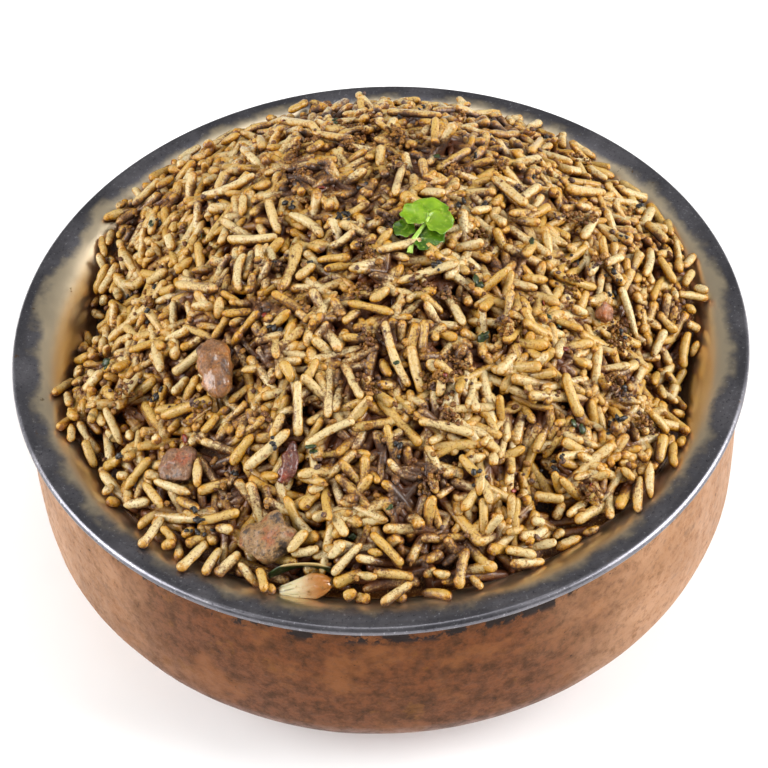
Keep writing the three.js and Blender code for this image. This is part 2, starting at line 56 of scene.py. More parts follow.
STEEL_LOW, STEEL_HIGH = (np.array(corner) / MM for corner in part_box("steel_bowl"))
RIM_RADIUS = STEEL_HIGH[0]
BOWL_HEIGHT = STEEL_HIGH[2]
SHEET = 1.0
GAP = 0.4
BOWL_SEGMENTS = 256

# steel liner, depths below the rim
BEAD_RADIUS = 1.1
LIP_START_RADIUS = 80.5
LIP_START_DEPTH = 0.2
LIP_CURVE = 11.0
WALL_SLOPE = math.radians(65)
WALL_STRAIGHT = 20.0
INNER_DEPTH = BOWL_HEIGHT - STEEL_LOW[2] - SHEET
LIP_END_RADIUS = LIP_START_RADIUS - LIP_CURVE * math.sin(WALL_SLOPE)
LIP_END_DEPTH = LIP_START_DEPTH + LIP_CURVE * (1 - math.cos(WALL_SLOPE))
WALL_END_RADIUS = LIP_END_RADIUS - WALL_STRAIGHT * math.cos(WALL_SLOPE)
WALL_END_DEPTH = LIP_END_DEPTH + WALL_STRAIGHT * math.sin(WALL_SLOPE)
FLOOR_CURVE = (INNER_DEPTH - WALL_END_DEPTH) / (1 - math.cos(WALL_SLOPE))
FLOOR_RADIUS = WALL_END_RADIUS - FLOOR_CURVE * math.sin(WALL_SLOPE)

# copper shell
COLLAR_RADIUS = 80.6
COLLAR_DEPTH = 2.8
NECK_RADIUS = 79.4
NECK_DEPTH = 5.0
BELLY_RADIUS = 82.3
BELLY_DEPTH = 37.0
BASE_RADIUS = 50.0
BELLY_ROUNDNESS = 1.6
DENT_DEPTH = 0.14
PAINTED_SHADE_SHIFT = 7.0  # the painted shade on the front is darkest left of the middle

# rice heap
HEAP_TOP = 25.0
HEAP_CENTRE = np.array([4.0, 8.0])
HEAP_FULLNESS = 2.2
CONTACT_DEPTH = 3.2
LUMP_HEIGHT = 0.9
EDGE_DIPS = (  # bowl angle and half width in degrees, added depth
    (172, 15, 9.0),
    (-15, 11, 6.5),
    (-152, 5, 4.5),
    (-59, 5, 4.0),
    (85, 45, -1.4),
)
CORE_DROP = 5.5  # the dark core lies this far under the heap's skin
EDGE_DROP = 2.6
CORE_SEGMENTS = 180
CORE_RINGS = 56
CORE_WALL_RINGS = 10
GRAIN_COVER = 1.2  # height of the grains' tops over the heap's skin
EDGE_COVER = 3.0
OVERSHOOT = (0.9, 2.6)  # how far a grain may stand over those tops
FREE_DEPTH = 0.8  # a place takes another grain while it is lower than the tops by this
ROUGHNESS = 1.1  # unevenness of those tops
BURIED_COUNT = 3100  # grains packed under the top layer
BURIED_DEPTH = (1.7, 3.6)  # their middles under those tops

# grains
GRAIN_WIDTH = 2.2
GRAIN_LENGTH = (9.5, 15.5)
SHOULDER = (0.8, 2.3)  # length of a grain's rounded end
END_RINGS = (0.05, 0.22, 0.5, 1.0)  # rings on it, as shares of that length
MIDDLE_RINGS = 4
GRAIN_RINGS = 2 * len(END_RINGS) + MIDDLE_RINGS
GRAIN_SIDES = 8
TIP_LENGTH = 2.2  # how far turmeric yellow reaches from the ends
END_CENTRE = 0.5  # the middle of an end is paler than its rim
GRAIN_KINDS = ("rice_pale", "rice_cream", "rice_golden", "rice_amber", "rice_brown")
DRIFT_SIZE = 17.0  # grains this near each other lie much the same way,
DRIFT_SPREAD = 0.65  # give or take this angle
HOLLOW_SIZE = 1.6  # hollows of about this size are painted darker: pooled sauce, and painted shade
SHORT_SHARE = 0.18  # broken grains
SHORT_LENGTH = 0.5
STEEP_SHARE = 0.28  # grains that stick out of the heap
SINK = 0.25  # soft grains sink into each other
BATCH = 200  # grains dropped in one round
FEWEST = 6  # grains that settle in the last round
EDGE_ROUNDS = 16
EDGE_LENGTH = 0.6

# seeds of the random draws: growing the heap, its grains' meshes, the crumbs
GROW_SEED, MESH_SEED, CRUMB_SEED = 7, 17, 23

# crumbs: radii from and to; clumps: how many, crumbs in each, spread
GAP_CRUMBS = 900  # masala between the grains
GAP_RADII = (0.3, 0.8)
PASTE_CLUMPS = (44, 32, 1.3)  # masala paste on the grains
PASTE_RADII = (0.26, 0.62)
CHAR_CLUMPS = (30, 4, 0.7)
CHAR_RADII = (0.3, 0.75)
CHAR_CRUMBS = 9  # crumbs in each of the larger charred bits
CHAR_SPREAD = 1.1
CHAR_PLACES = (  # larger charred bits, x and y
    (52.3, -2.6),
    (34.6, -47.7),
    (48.0, -38.7),
    (-48.7, -24.5),
    (-56.4, -38.2),
    (-38.9, -57.0),
    (-6.0, 8.5),
)
HERB_CLUMPS = (16, 2, 0.8)
HERB_RADII = (0.5, 1.1)
CHILLI_CLUMPS = (12, 1, 0.5)
CHILLI_RADII = (0.5, 1.0)

LEAF_TEETH = 0.12  # depth of a leaflet's lobes, as a share of its width
STEM_SIDES = 10
TOPPING_DIP = 2.5  # keeps grains from lying over a piece of meat, the onion or the curry leaf
LEAF_DIP = (8.0, 1.3)  # radius and depth of the hollow that the fresh leaf lies in


# ---------- mesh helpers ----------


def placed(name, data):
    """A new object in the scene."""
    thing = bpy.data.objects.new(name, data)
    bpy.context.scene.collection.objects.link(thing)
    return thing


def mesh_piece(name, points, faces, material, slot, **attributes):
    """A smooth mesh from points in millimetres, riding on the root body.

    Faces are rows of four corners, the last one -1 where a face is a triangle.
    """
    mesh = bpy.data.meshes.new(name)
    sides = (faces >= 0).sum(axis=1)
    corners = faces[faces >= 0]
    mesh.vertices.add(len(points))
    mesh.vertices.foreach_set("co", (np.asarray(points, np.float32) * MM).ravel())
    mesh.loops.add(len(corners))
    mesh.loops.foreach_set("vertex_index", corners.astype(np.int32))
    mesh.polygons.add(len(faces))
    mesh.polygons.foreach_set("loop_start", (np.cumsum(sides) - sides).astype(np.int32))
    mesh.update(calc_edges=True)
    mesh.shade_smooth()
    for key, values in attributes.items():
        layer = mesh.attributes.new(key, "FLOAT", "POINT")
        layer.data.foreach_set("value", values.astype(np.float32))
    mesh.materials.append(material)
    mesh.validate()
    piece = placed(name, mesh)
    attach(piece, "root")
    return piece


def ring_faces(rings, sides, flip=False):
    """Faces of a closed skin: a first point, rings of points, then a last point."""
    here = 1 + np.arange(sides)
    after = 1 + (np.arange(sides) + 1) % sides
    none = np.full(sides, -1)
    tail = (rings - 1) * sides
    start = np.column_stack([0 * here, after, here, none])
    end = np.column_stack([0 * here + tail + sides + 1, tail + here, tail + after, none])
    down = sides * np.arange(rings - 1)[:, None]
    walls = np.stack([down + here, down + after, down + sides + after, down + sides + here], -1)
    walls = walls.reshape(-1, 4)
    if flip:
        start, walls, end = start[:, [0, 2, 1, 3]], walls[:, [0, 3, 2, 1]], end[:, [0, 2, 1, 3]]
    return np.concatenate([start, walls, end])


def joined(parts):
    """Several skins, each as points and faces, as one."""
    starts = np.cumsum([0] + [len(points) for points, _ in parts])
    faces = [np.where(rows >= 0, rows + start, -1) for start, (_, rows) in zip(starts, parts)]
    return np.concatenate([points for points, _ in parts]), np.concatenate(faces)


def ball_skin(subdivisions):
    """Points and faces of a ball of triangles with radius 1."""
    mesh = bmesh.new()
    bmesh.ops.create_icosphere(mesh, subdivisions=subdivisions, radius=1.0)
    points = np.array([vertex.co[:] for vertex in mesh.verts])
    faces = np.array([[*(vertex.index for vertex in face.verts), -1] for face in mesh.faces])
    mesh.free()
    return points, faces


def lathe(profile, wobble=None):
    """A closed skin turned round Z from [radius, height] points that start and end on it."""
    angles = np.arange(BOWL_SEGMENTS) * 2 * np.pi / BOWL_SEGMENTS
    rings = np.array(profile[1:-1])
    points = np.empty((len(rings), BOWL_SEGMENTS, 3))
    points[..., 0] = rings[:, :1] * np.cos(angles)
    points[..., 1] = rings[:, :1] * np.sin(angles)
    points[..., 2] = rings[:, 1:]
    if wobble:
        points = wobble(points, angles)
    ends = np.array([[0, 0, profile[0][1]], [0, 0, profile[-1][1]]])
    points = np.concatenate([ends[:1], points.reshape(-1, 3), ends[1:]])
    return points, ring_faces(len(rings), BOWL_SEGMENTS)


def value_noise(points, scale, seed):
    """Smooth noise from -1 to 1 at points, with features of the given size."""
    place = np.asarray(points, float) / scale
    cell = np.floor(place).astype(np.int64)
    share = place - cell
    share = share * share * (3 - 2 * share)
    total = np.zeros(place.shape[:-1])
    for corner in np.ndindex(2, 2, 2):
        key = (cell + corner).astype(np.uint64)
        mixed = key[..., 0] * np.uint64(73856093) ^ key[..., 1] * np.uint64(19349663)
        mixed = mixed ^ key[..., 2] * np.uint64(83492791) ^ np.uint64(seed * 2654435761)
        mixed = (mixed ^ (mixed >> np.uint64(15))) * np.uint64(2246822519)
        mixed = (mixed ^ (mixed >> np.uint64(13))) * np.uint64(3266489917)
        value = (mixed >> np.uint64(16) & np.uint64(0xFFFF)) / 32767.5 - 1
        total += np.where(corner, share, 1 - share).prod(axis=-1) * value
    return total


# ---------- node helpers for materials ----------


def colour(text):
    """Linear RGBA from a hex sRGB colour."""
    parts = [int(text[i : i + 2], 16) / 255 for i in (1, 3, 5)]
    linear = [p / 12.92 if p <= 0.04045 else ((p + 0.055) / 1.055) ** 2.4 for p in parts]
    return (*linear, 1.0)


def soft(weight, reach, scale=1.0):
    """Shader settings for light that sinks in, its scale in millimetres."""
    return {"Subsurface_Weight": weight, "Subsurface_Radius": reach, "Subsurface_Scale": scale * MM}


def glazed(weight, roughness):
    return {"Coat_Weight": weight, "Coat_Roughness": roughness}


class Paint:
    """Builds a material's nodes round one Principled shader."""

    def __init__(self, name, **constants):
        self.material = bpy.data.materials.new(name)
        self.material.use_nodes = True
        self.tree = self.material.node_tree
        self.shader = self.tree.nodes["Principled BSDF"]
        for key, value in constants.items():
            self.shader.inputs[key.replace("_", " ")].default_value = value
        self.place = self.node("ShaderNodeTexCoord").outputs["Object"]

    def node(self, kind, inputs=None, **settings):
        made = self.tree.nodes.new(kind)
        for key, value in settings.items():
            setattr(made, key, value)
        for key, value in (inputs or {}).items():
            self.feed(made.inputs[key], value)
        return made

    def feed(self, socket, value):
        """Links a value to a socket, or sets it there if it is a number or a colour."""
        if isinstance(value, bpy.types.NodeSocket):
            self.tree.links.new(value, socket)
        else:
            socket.default_value = colour(value) if isinstance(value, str) else value

    def axis(self, name):
        """A coordinate in the frame's axes, in metres."""
        return self.node("ShaderNodeSeparateXYZ", {"Vector": self.place}).outputs[name]

    def attribute(self, name):
        return self.node("ShaderNodeAttribute", attribute_name=name).outputs["Fac"]

    def noise(self, size, detail, roughness, stretch=None):
        """Noise from 0 to 1 whose features have a size in millimetres."""
        place = self.place
        if stretch:
            place = self.node("ShaderNodeMapping", {"Vector": place, "Scale": stretch}).outputs[0]
        inputs = {"Vector": place, "Scale": 1 / (size * MM), "Detail": detail, "Roughness": roughness}
        return self.node("ShaderNodeTexNoise", inputs).outputs["Fac"]

    def ramp(self, value, low, high, start=0.0, end=1.0, kind="SMOOTHSTEP"):
        """Value mapped so that low becomes start and high becomes end."""
        inputs = {"Value": value, "From Min": low, "From Max": high, "To Min": start, "To Max": end}
        return self.node("ShaderNodeMapRange", inputs, interpolation_type=kind).outputs["Result"]

    def span(self, share, start, end):
        """A number between start and end by a share from 0 to 1."""
        return self.ramp(share, 0.0, 1.0, start, end, "LINEAR")

    def math(self, operation, a, b=0.0):
        return self.node("ShaderNodeMath", {0: a, 1: b}, operation=operation).outputs[0]

    def total(self, *terms):
        """The sum of values, each times its weight."""
        whole = 0.0
        for value, weight in terms:
            whole = self.math("ADD", whole, self.math("MULTIPLY", value, weight))
        return whole

    def mix(self, share, a, b):
        return self.node("ShaderNodeMix", {0: share, 6: a, 7: b}, data_type="RGBA").outputs[2]

    def coats(self, base, *coats):
        """Colours over a base. Each coat has a value, the values where it starts and is full,
        its colour, and how much it then covers."""
        for value, low, high, text, cover in coats:
            base = self.mix(self.ramp(value, low, high, 0.0, cover), base, text)
        return base

    def finish(self, base, rough, *bumps):
        """The material. Each bump has a value, a depth in millimetres and a strength."""
        self.feed(self.shader.inputs["Base Color"], base)
        self.feed(self.shader.inputs["Roughness"], rough)
        under = {}
        for height, depth, strength in bumps:
            inputs = {"Height": height, "Distance": depth * MM, "Strength": strength, **under}
            under = {"Normal": self.node("ShaderNodeBump", inputs).outputs["Normal"]}
        for key, value in under.items():
            self.feed(self.shader.inputs[key], value)
        return self.material


# ---------- bowl ----------


def liner_face(outward):
    """The liner's inner face from rim to floor, moved outward: [radius, height] points."""
    lip = WALL_SLOPE * np.linspace(0, 1, 21)
    foot = WALL_SLOPE * np.linspace(1, 0, 13)
    slope = np.concatenate([lip, foot])
    radius = np.concatenate([
        LIP_START_RADIUS - LIP_CURVE * np.sin(lip),
        FLOOR_RADIUS + FLOOR_CURVE * np.sin(foot),
    ])
    depth = np.concatenate([
        LIP_START_DEPTH + LIP_CURVE * (1 - np.cos(lip)),
        INNER_DEPTH - FLOOR_CURVE * (1 - np.cos(foot)),
    ])
    height = BOWL_HEIGHT - depth - outward * np.cos(slope)
    return np.column_stack([radius + outward * np.sin(slope), height])


def wall_radius(depth):
    """Radius of the liner's inner face at a depth below the rim."""
    lip = 1 - np.clip((depth - LIP_START_DEPTH) / LIP_CURVE, 0, 1)
    on_lip = LIP_START_RADIUS - LIP_CURVE * np.sqrt(1 - lip**2)
    on_wall = LIP_END_RADIUS - (depth - LIP_END_DEPTH) / math.tan(WALL_SLOPE)
    return np.where(depth < LIP_END_DEPTH, on_lip, on_wall)


def liner_radius(height):
    """Radius of the liner's inner face at a height, floor curve included."""
    depth = BOWL_HEIGHT - height
    rise = np.clip((INNER_DEPTH - depth) / FLOOR_CURVE, 0, 1)
    on_floor = FLOOR_RADIUS + FLOOR_CURVE * np.sqrt(1 - (1 - rise) ** 2)
    return np.where(depth < WALL_END_DEPTH, wall_radius(depth), on_floor)


def liner_height(radius):
    """Height of the liner's inner face at a radius, down to the end of its straight wall."""
    sine = np.clip((LIP_START_RADIUS - radius) / LIP_CURVE, 0, math.sin(WALL_SLOPE))
    lip = LIP_START_DEPTH + LIP_CURVE * (1 - np.sqrt(1 - sine**2))
    wall = np.maximum(LIP_END_RADIUS - radius, 0) * math.tan(WALL_SLOPE)
    return BOWL_HEIGHT - lip - wall


def steel_liner():
    turns = np.radians(np.linspace(-90, 90, 13))
    round_bead = BEAD_RADIUS * np.column_stack([np.cos(turns), np.sin(turns)])
    bead = round_bead + (RIM_RADIUS - BEAD_RADIUS, BOWL_HEIGHT - BEAD_RADIUS)
    floor = BOWL_HEIGHT - INNER_DEPTH
    profile = [[0, floor - SHEET], *liner_face(SHEET)[::-1], *bead, *liner_face(0), [0, floor]]
    piece = mesh_piece("steel_liner", *lathe(profile), steel_paint(), "steel")
    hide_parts("steel_bowl")


def shell_face(inset, curve_steps, shoulder_steps):
    """The shell's outer profile from base to collar, shrunk by a distance."""
    belly = BOWL_HEIGHT - BELLY_DEPTH
    neck = BOWL_HEIGHT - NECK_DEPTH
    turn = np.linspace(0, math.pi / 2, curve_steps + 1)
    across = np.sin(turn) ** (2 / BELLY_ROUNDNESS)
    down = np.cos(turn) ** (2 / BELLY_ROUNDNESS)
    radius = BASE_RADIUS + (BELLY_RADIUS - BASE_RADIUS) * across
    curve = np.column_stack([radius, belly - (belly - inset) * down])
    t = np.linspace(0, 1, shoulder_steps + 1)[1:, None]
    start, bulge = np.array([BELLY_RADIUS, belly]), np.array([BELLY_RADIUS, (belly + neck) / 2])
    shoulder = (1 - t) ** 2 * start + 2 * t * (1 - t) * bulge + t**2 * (NECK_RADIUS, neck)
    collar = [[COLLAR_RADIUS, BOWL_HEIGHT - COLLAR_DEPTH]]
    return np.concatenate([curve, shoulder, collar]) - (inset, 0)


def hand_beaten(points, angles):
    """Shallow dents of a hand-beaten sheet, none on the collar under the rim."""
    dents = value_noise(points, 14.0, 5) + 0.5 * value_noise(points, 6.0, 6)
    below_rim = np.clip((BOWL_HEIGHT - 6 - points[..., 2:]) / 8, 0, 1)
    outward = np.stack([np.cos(angles), np.sin(angles), 0 * angles], -1)
    above_base = np.clip(points[..., 2:] / 6, 0, 1)
    return points + DENT_DEPTH * (dents[..., None] - 1) * outward * below_rim * above_base


def copper_shell():
    profile = [[0, 0], *shell_face(0, 40, 20), *shell_face(SHEET, 12, 4)[::-1], [0, SHEET]]
    piece = mesh_piece("copper_outside", *lathe(profile, hand_beaten), copper_paint(), "copper")
    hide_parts("copper_shell")


def steel_paint():
    paint = Paint("steel_satin", Metallic=1.0)
    smear = paint.noise(12, 4, 0.6)
    grainy = paint.noise(0.7, 3, 0.7)
    brushed = paint.noise(0.5, 3, 0.6, (0.15, 0.15, 1.0))
    x, y, height = (paint.axis(name) for name in "XYZ")
    outward = paint.math("ADD", paint.math("MULTIPLY", x, x), paint.math("MULTIPLY", y, y))
    outward = paint.math("SQRT", outward)
    base = paint.coats(
        "#66656b",
        (smear, 0.3, 0.75, "#7f7d82", 1),
        (grainy, 0.58, 0.76, "#b4b3b8", 1),
        (grainy, 0.44, 0.26, "#4e4c52", 1),
    )
    # painted reflection of the rice: a pale golden tint on the lip, inside its bead and below an uneven
    # line
    inside = paint.ramp(outward, LIP_START_RADIUS * MM, (LIP_START_RADIUS - 1.5) * MM, 0, 0.95)
    line = paint.total((height, 1.0), (smear, 3.0 * MM))
    tint_and_painted_light = paint.ramp(line, (BOWL_HEIGHT + 1.3) * MM, (BOWL_HEIGHT + 0.4) * MM)
    base = paint.mix(paint.math("MULTIPLY", tint_and_painted_light, inside), base, "#e6d4b4")
    base = paint.coats(base, (paint.noise(5, 4, 0.7), 0.68, 0.72, "#7a5a2c", 0.7))
    rough = paint.ramp(smear, 0.3, 0.75, 0.29, 0.41)
    return paint.finish(base, rough, (brushed, 0.02, 0.4), (grainy, 0.04, 0.6))


def copper_paint():
    paint = Paint("copper_aged_painted_shade", Metallic=0.8)
    height = paint.axis("Z")
    sideways = paint.math("ABSOLUTE", paint.math("ADD", paint.axis("X"), PAINTED_SHADE_SHIFT * MM))
    broad = paint.noise(20, 4, 0.6)
    blotch = paint.noise(2.8, 5, 0.75)
    streak = paint.noise(1.6, 4, 0.7, (0.8, 0.8, 1.1))
    fine = paint.noise(0.9, 3, 0.7)
    bare = paint.coats(
        "#b68a66",
        (broad, 0.35, 0.65, "#a47750", 1),
        (blotch, 0.5, 0.66, "#8f6343", 0.6),
    )
    shaded_copper_colour = paint.coats(
        "#6c3a14",
        (blotch, 0.36, 0.66, "#4b2a0c", 1),
        (paint.noise(13, 3, 0.6), 0.5, 0.7, "#7c4a22", 1),
    )
    # painted shade: the belly is painted darker on its front and back, away from the side lights, uneven
    # with broad noise
    painted_shade_mask = paint.total((sideways, -1.0), (broad, 24 * MM))
    base = paint.mix(paint.ramp(painted_shade_mask, -58 * MM, -18 * MM), bare, shaded_copper_colour)
    base = paint.coats(
        base,
        # painted shade: the copper is painted redder and darker towards its base
        (paint.total((height, -1.0), (broad, 14 * MM)), -6 * MM, 4 * MM, "#9a3f1c", 0.7),
        (paint.noise(7, 4, 0.6), 0.63, 0.7, "#75480f", 0.5),
        (streak, 0.48, 0.66, "#573723", 0.35),
        (paint.total((fine, 0.6), (blotch, 0.5)), 0.66, 0.72, "#2f1c11", 0.85),
    )
    under_rim = paint.ramp(height, 53.5 * MM, 55.5 * MM)
    soot = paint.math("MULTIPLY", under_rim, paint.ramp(paint.noise(6, 4, 0.7), 0.51, 0.57))
    base = paint.mix(soot, base, "#20140f")
    # painted shade on the collar under the steel bead: a dark brown band near the top
    base = paint.coats(base, (height, 58.0 * MM, 59.0 * MM, "#54382a", 0.7))
    rough = paint.ramp(blotch, 0.35, 0.7, 0.42, 0.6)
    return paint.finish(base, rough, (fine, 0.06, 0.5), (blotch, 0.2, 0.4))


# ---------- heap shape ----------


def contact_depth(degrees):
    depth = np.full(np.shape(degrees), CONTACT_DEPTH)
    for angle, spread, extra in EDGE_DIPS:
        away = (degrees - angle + 180) % 360 - 180
        depth = depth + extra * np.exp(-((away / spread) ** 2))
    return depth


def heap_edge(degrees):
    """Where the rice meets the liner, as offsets from the heap's centre."""
    radius = wall_radius(contact_depth(degrees)) - GAP
    angle = np.radians(degrees)
    return np.stack([radius * np.cos(angle), radius * np.sin(angle)], -1) - HEAP_CENTRE


def heap_reach(x, y):
    """Bowl angle in degrees, and reach: 0 at the heap's centre and 1 where it ends."""
    across, along = x - HEAP_CENTRE[0], y - HEAP_CENTRE[1]
    heading = np.degrees(np.arctan2(along, across))
    degrees = heading
    for _ in range(12):
        edge = heap_edge(degrees)
        out = np.degrees(np.arctan2(edge[..., 1], edge[..., 0]))
        degrees = degrees + ((heading - out + 180) % 360 - 180)
    edge = heap_edge(degrees)
    return degrees, np.hypot(across, along) / np.hypot(edge[..., 0], edge[..., 1])


def lumps(x, y):
    broad = np.sin(x / 8.5 + 0.8) * np.cos(y / 9.5 - 0.5)
    narrow = np.sin((x + 1.3 * y) / 6 + 1.9) * np.cos((x - 0.7 * y) / 7.5)
    return LUMP_HEIGHT * (broad + 0.7 * narrow)


def heap_height(x, y):
    """Height of the heap's own skin, and the reach there."""
    degrees, reach = heap_reach(x, y)
    depth = contact_depth(degrees)
    inside = np.minimum(reach, 1.0)
    dome = (HEAP_TOP + depth) * (1 - inside**HEAP_FULLNESS)
    return BOWL_HEIGHT - depth + dome + lumps(x, y) * (1 - inside**4), reach


def core_height(skin, reach):
    """Height of the dark core under the grains."""
    return skin - np.interp(reach, (0.0, 0.9, 1.0), (CORE_DROP, CORE_DROP, EDGE_DROP))


def rice_core():
    """The dark body of the heap, closed down to the liner's floor: masala paste, and painted shade for the
    rice deep under the top grains.
    """
    edge = heap_edge(np.arange(CORE_SEGMENTS) * 360.0 / CORE_SEGMENTS)
    rings = []
    for reach in np.linspace(0.02, 1.0, CORE_RINGS):
        place = HEAP_CENTRE + reach * edge
        skin, _ = heap_height(*place.T)
        film = liner_height(np.hypot(*place.T)) + 0.3
        ring = np.column_stack([place, np.maximum(core_height(skin, reach), film)])
        ring[:, 2] += 0.7 * value_noise(ring, 2.2, 3) * min(1, (1 - reach) / 0.1)
        rings.append(ring)
    rim, floor = rings[-1], BOWL_HEIGHT - INNER_DEPTH + GAP
    turn = np.arctan2(rim[:, 1], rim[:, 0])
    for share in np.linspace(0.08, 1, CORE_WALL_RINGS):
        height = rim[:, 2] + (floor - rim[:, 2]) * share
        radius = liner_radius(height) - GAP
        rings.append(np.column_stack([radius * np.cos(turn), radius * np.sin(turn), height]))
    points = np.concatenate([[[*HEAP_CENTRE, rings[0][0, 2]]], *rings, [[0, 0, floor]]])
    faces = ring_faces(len(rings), CORE_SEGMENTS, flip=True)
    piece = mesh_piece("rice_core", points, faces, masala_paint(), "rice")
    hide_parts("rice_heap")


# ---------- toppings' places ----------


def skin_normal(x, y):
    step = 0.5
    rise = [
        heap_height(np.array(x + a * step), np.array(y + b * step))[0]
        for a, b in ((1, 0), (-1, 0), (0, 1), (0, -1))
    ]
    slope = Vector((-(rise[0] - rise[1]) / (2 * step), -(rise[2] - rise[3]) / (2 * step), 1.0))
    return slope.normalized()


class Seat:
    """A topping's middle and turn on the heap: its long side by heading in degrees."""

    def __init__(self, x, y, size, heading, rise):
        skin = float(heap_height(np.array(x), np.array(y))[0])
        normal = skin_normal(x, y)
        long = Vector((math.cos(math.radians(heading)), math.sin(math.radians(heading)), 0))
        long = (long - normal * long.dot(normal)).normalized()
        self.size = np.array(size, float)
        self.turn = np.array(Matrix((long, normal.cross(long), normal)).transposed())
        self.middle = np.array([x, y, skin]) + rise * np.array(normal)

    def to_world(self, points):
        return points @ self.turn.T + self.middle

    def holds(self, points, clearance):
        local = (points - self.middle) @ self.turn
        return ((np.abs(local) / (self.size / 2 + clearance)) ** 4).sum(-1) < 1


SEATS = {
    "garnish_leaf": Seat(10.3, 2.2, (13, 12, 7), 0, 3),
    "curry_leaf": Seat(-18.4, -66.2, (13, 3, 5), 2, 1.2),
    "meat_piece_left": Seat(-33.8, -25, (14, 7.5, 5), 92, 1.4),
    "meat_piece_front": Seat(-24, -60, (11, 9.4, 6), 35, 1.6),
    "onion_piece_front": Seat(-17.5, -69.3, (10.5, 5, 3), 8, 1.2),
    "meat_slab_left": Seat(-42.5, -42.5, (9, 7.5, 4), 70, 1.2),
    "meat_bit_right": Seat(48.6, -9.7, (5, 3.8, 3), 80, 1.1),
    "spice_skin_front": Seat(-19.8, -47.5, (8.5, 4, 2.2), 75, 0.9),
}
SOLID_SEATS = [seat for name, seat in SEATS.items() if not name.endswith("leaf")]


# ---------- heap growing ----------

CELL = 0.4
HALF_WIDTH = 80.0
PATCH = 4  # cells to each side of a ball that its stamp covers
BALLS = 12  # balls along a grain, for how it rests on what is below


class Pile:
    """The heap's top as a height map that grows as grains and crumbs settle on it."""

    def __init__(self):
        axis = np.arange(-HALF_WIDTH, HALF_WIDTH + CELL, CELL)
        self.x, self.y = np.meshgrid(axis, axis, indexing="ij")
        skin, self.reach = heap_height(self.x, self.y)
        slope_x, slope_y = np.gradient(skin, CELL)
        normal = np.stack([-slope_x, -slope_y, np.ones_like(skin)], -1)
        self.normal = normal / np.linalg.norm(normal, axis=-1, keepdims=True)
        liner = liner_height(np.hypot(self.x, self.y))
        self.height = np.maximum(core_height(skin, self.reach), liner)
        self.target = skin + np.interp(self.reach, (0.84, 1.0), (GRAIN_COVER, EDGE_COVER))
        plan = np.stack([self.x, self.y, np.zeros_like(self.x)], -1)
        rough = value_noise(plan, 7.0, 41) + 0.6 * value_noise(plan, 3.2, 42)
        self.target += ROUGHNESS * rough * np.interp(self.reach, (0.9, 1.0), (1, 0))
        self.drift = math.pi * value_noise(plan, DRIFT_SIZE, 43)
        leaf = SEATS["garnish_leaf"].middle
        away = np.hypot(self.x - leaf[0], self.y - leaf[1]) / LEAF_DIP[0]
        self.target -= LEAF_DIP[1] * np.exp(-(away**4))
        for name, seat in SEATS.items():
            if name != "garnish_leaf":
                self.target[seat.holds(plan + (0, 0, seat.middle[2]), 0.0)] -= TOPPING_DIP
        self.owner = np.full(self.height.shape, -1)
        spread = np.arange(-PATCH, PATCH + 1)
        self.offsets = np.stack(np.meshgrid(spread, spread, indexing="ij"), -1).reshape(-1, 2)

    def cell(self, places):
        return np.clip(np.rint((places + HALF_WIDTH) / CELL).astype(int), 0, len(self.x) - 1)

    def at(self, field, places):
        cells = self.cell(places)
        return field[cells[..., 0], cells[..., 1]]

    def middles(self, cells):
        """Places of the middles of cells, by their numbers."""
        return np.stack([self.x.flat[cells], self.y.flat[cells]], -1)

    def patch(self, places, radii):
        """Cells under balls, and the square of each ball's half height there."""
        cells = self.cell(places)[:, None] + self.offsets
        cells = np.clip(cells, 0, len(self.x) - 1)
        away = cells * CELL - HALF_WIDTH - places[:, None]
        square = radii[:, None] ** 2 - (away**2).sum(-1)
        return cells[..., 0], cells[..., 1], square

    def clear_height(self, places, radii):
        """The lowest middle at which each ball clears the heap."""
        i, j, square = self.patch(places, radii)
        cap = np.sqrt(np.maximum(square, 0))
        return np.where(square > 0, self.height[i, j] + cap, -1e9).max(axis=1)

    def stamp(self, balls, radii, owner):
        i, j, square = self.patch(balls[:, :2], radii)
        top = balls[:, 2:] + np.sqrt(np.maximum(square, 0))
        keep = (square > 0) & (top > self.height[i, j])
        i, j, top = i[keep], j[keep], top[keep]
        order = np.argsort(top)
        self.height[i[order], j[order]] = top[order]
        self.owner[i, j] = owner

    def smoothed(self, spread):
        """The heap's height blurred over a distance in millimetres."""
        half = int(3 * spread / CELL)
        weights = np.exp(-0.5 * (np.arange(-half, half + 1) * CELL / spread) ** 2)
        weights /= weights.sum()
        blurred = self.height
        for axis in (0, 1):
            padded = np.pad(blurred, [(half, half) if axis == i else (0, 0) for i in (0, 1)], "edge")
            blurred = np.apply_along_axis(np.convolve, axis, padded, weights, "valid")
        return blurred

    def low_places(self, rng, reaches):
        """Random places between two reaches where the heap is still too low."""
        low = (self.reach >= reaches[0]) & (self.reach < reaches[1])
        low &= self.target - self.height > FREE_DEPTH
        found = np.flatnonzero(low)
        if len(found) < 40:
            return np.empty((0, 2))
        picked = rng.choice(found, BATCH)
        jitter = (rng.random((BATCH, 2)) - 0.5) * CELL
        return self.middles(picked) + jitter


def along_skin(normal, heading):
    """The direction along the heap's skin that has a heading."""
    level = np.array([math.cos(heading), math.sin(heading), 0])
    level -= normal * (level @ normal)
    return level / np.linalg.norm(level)


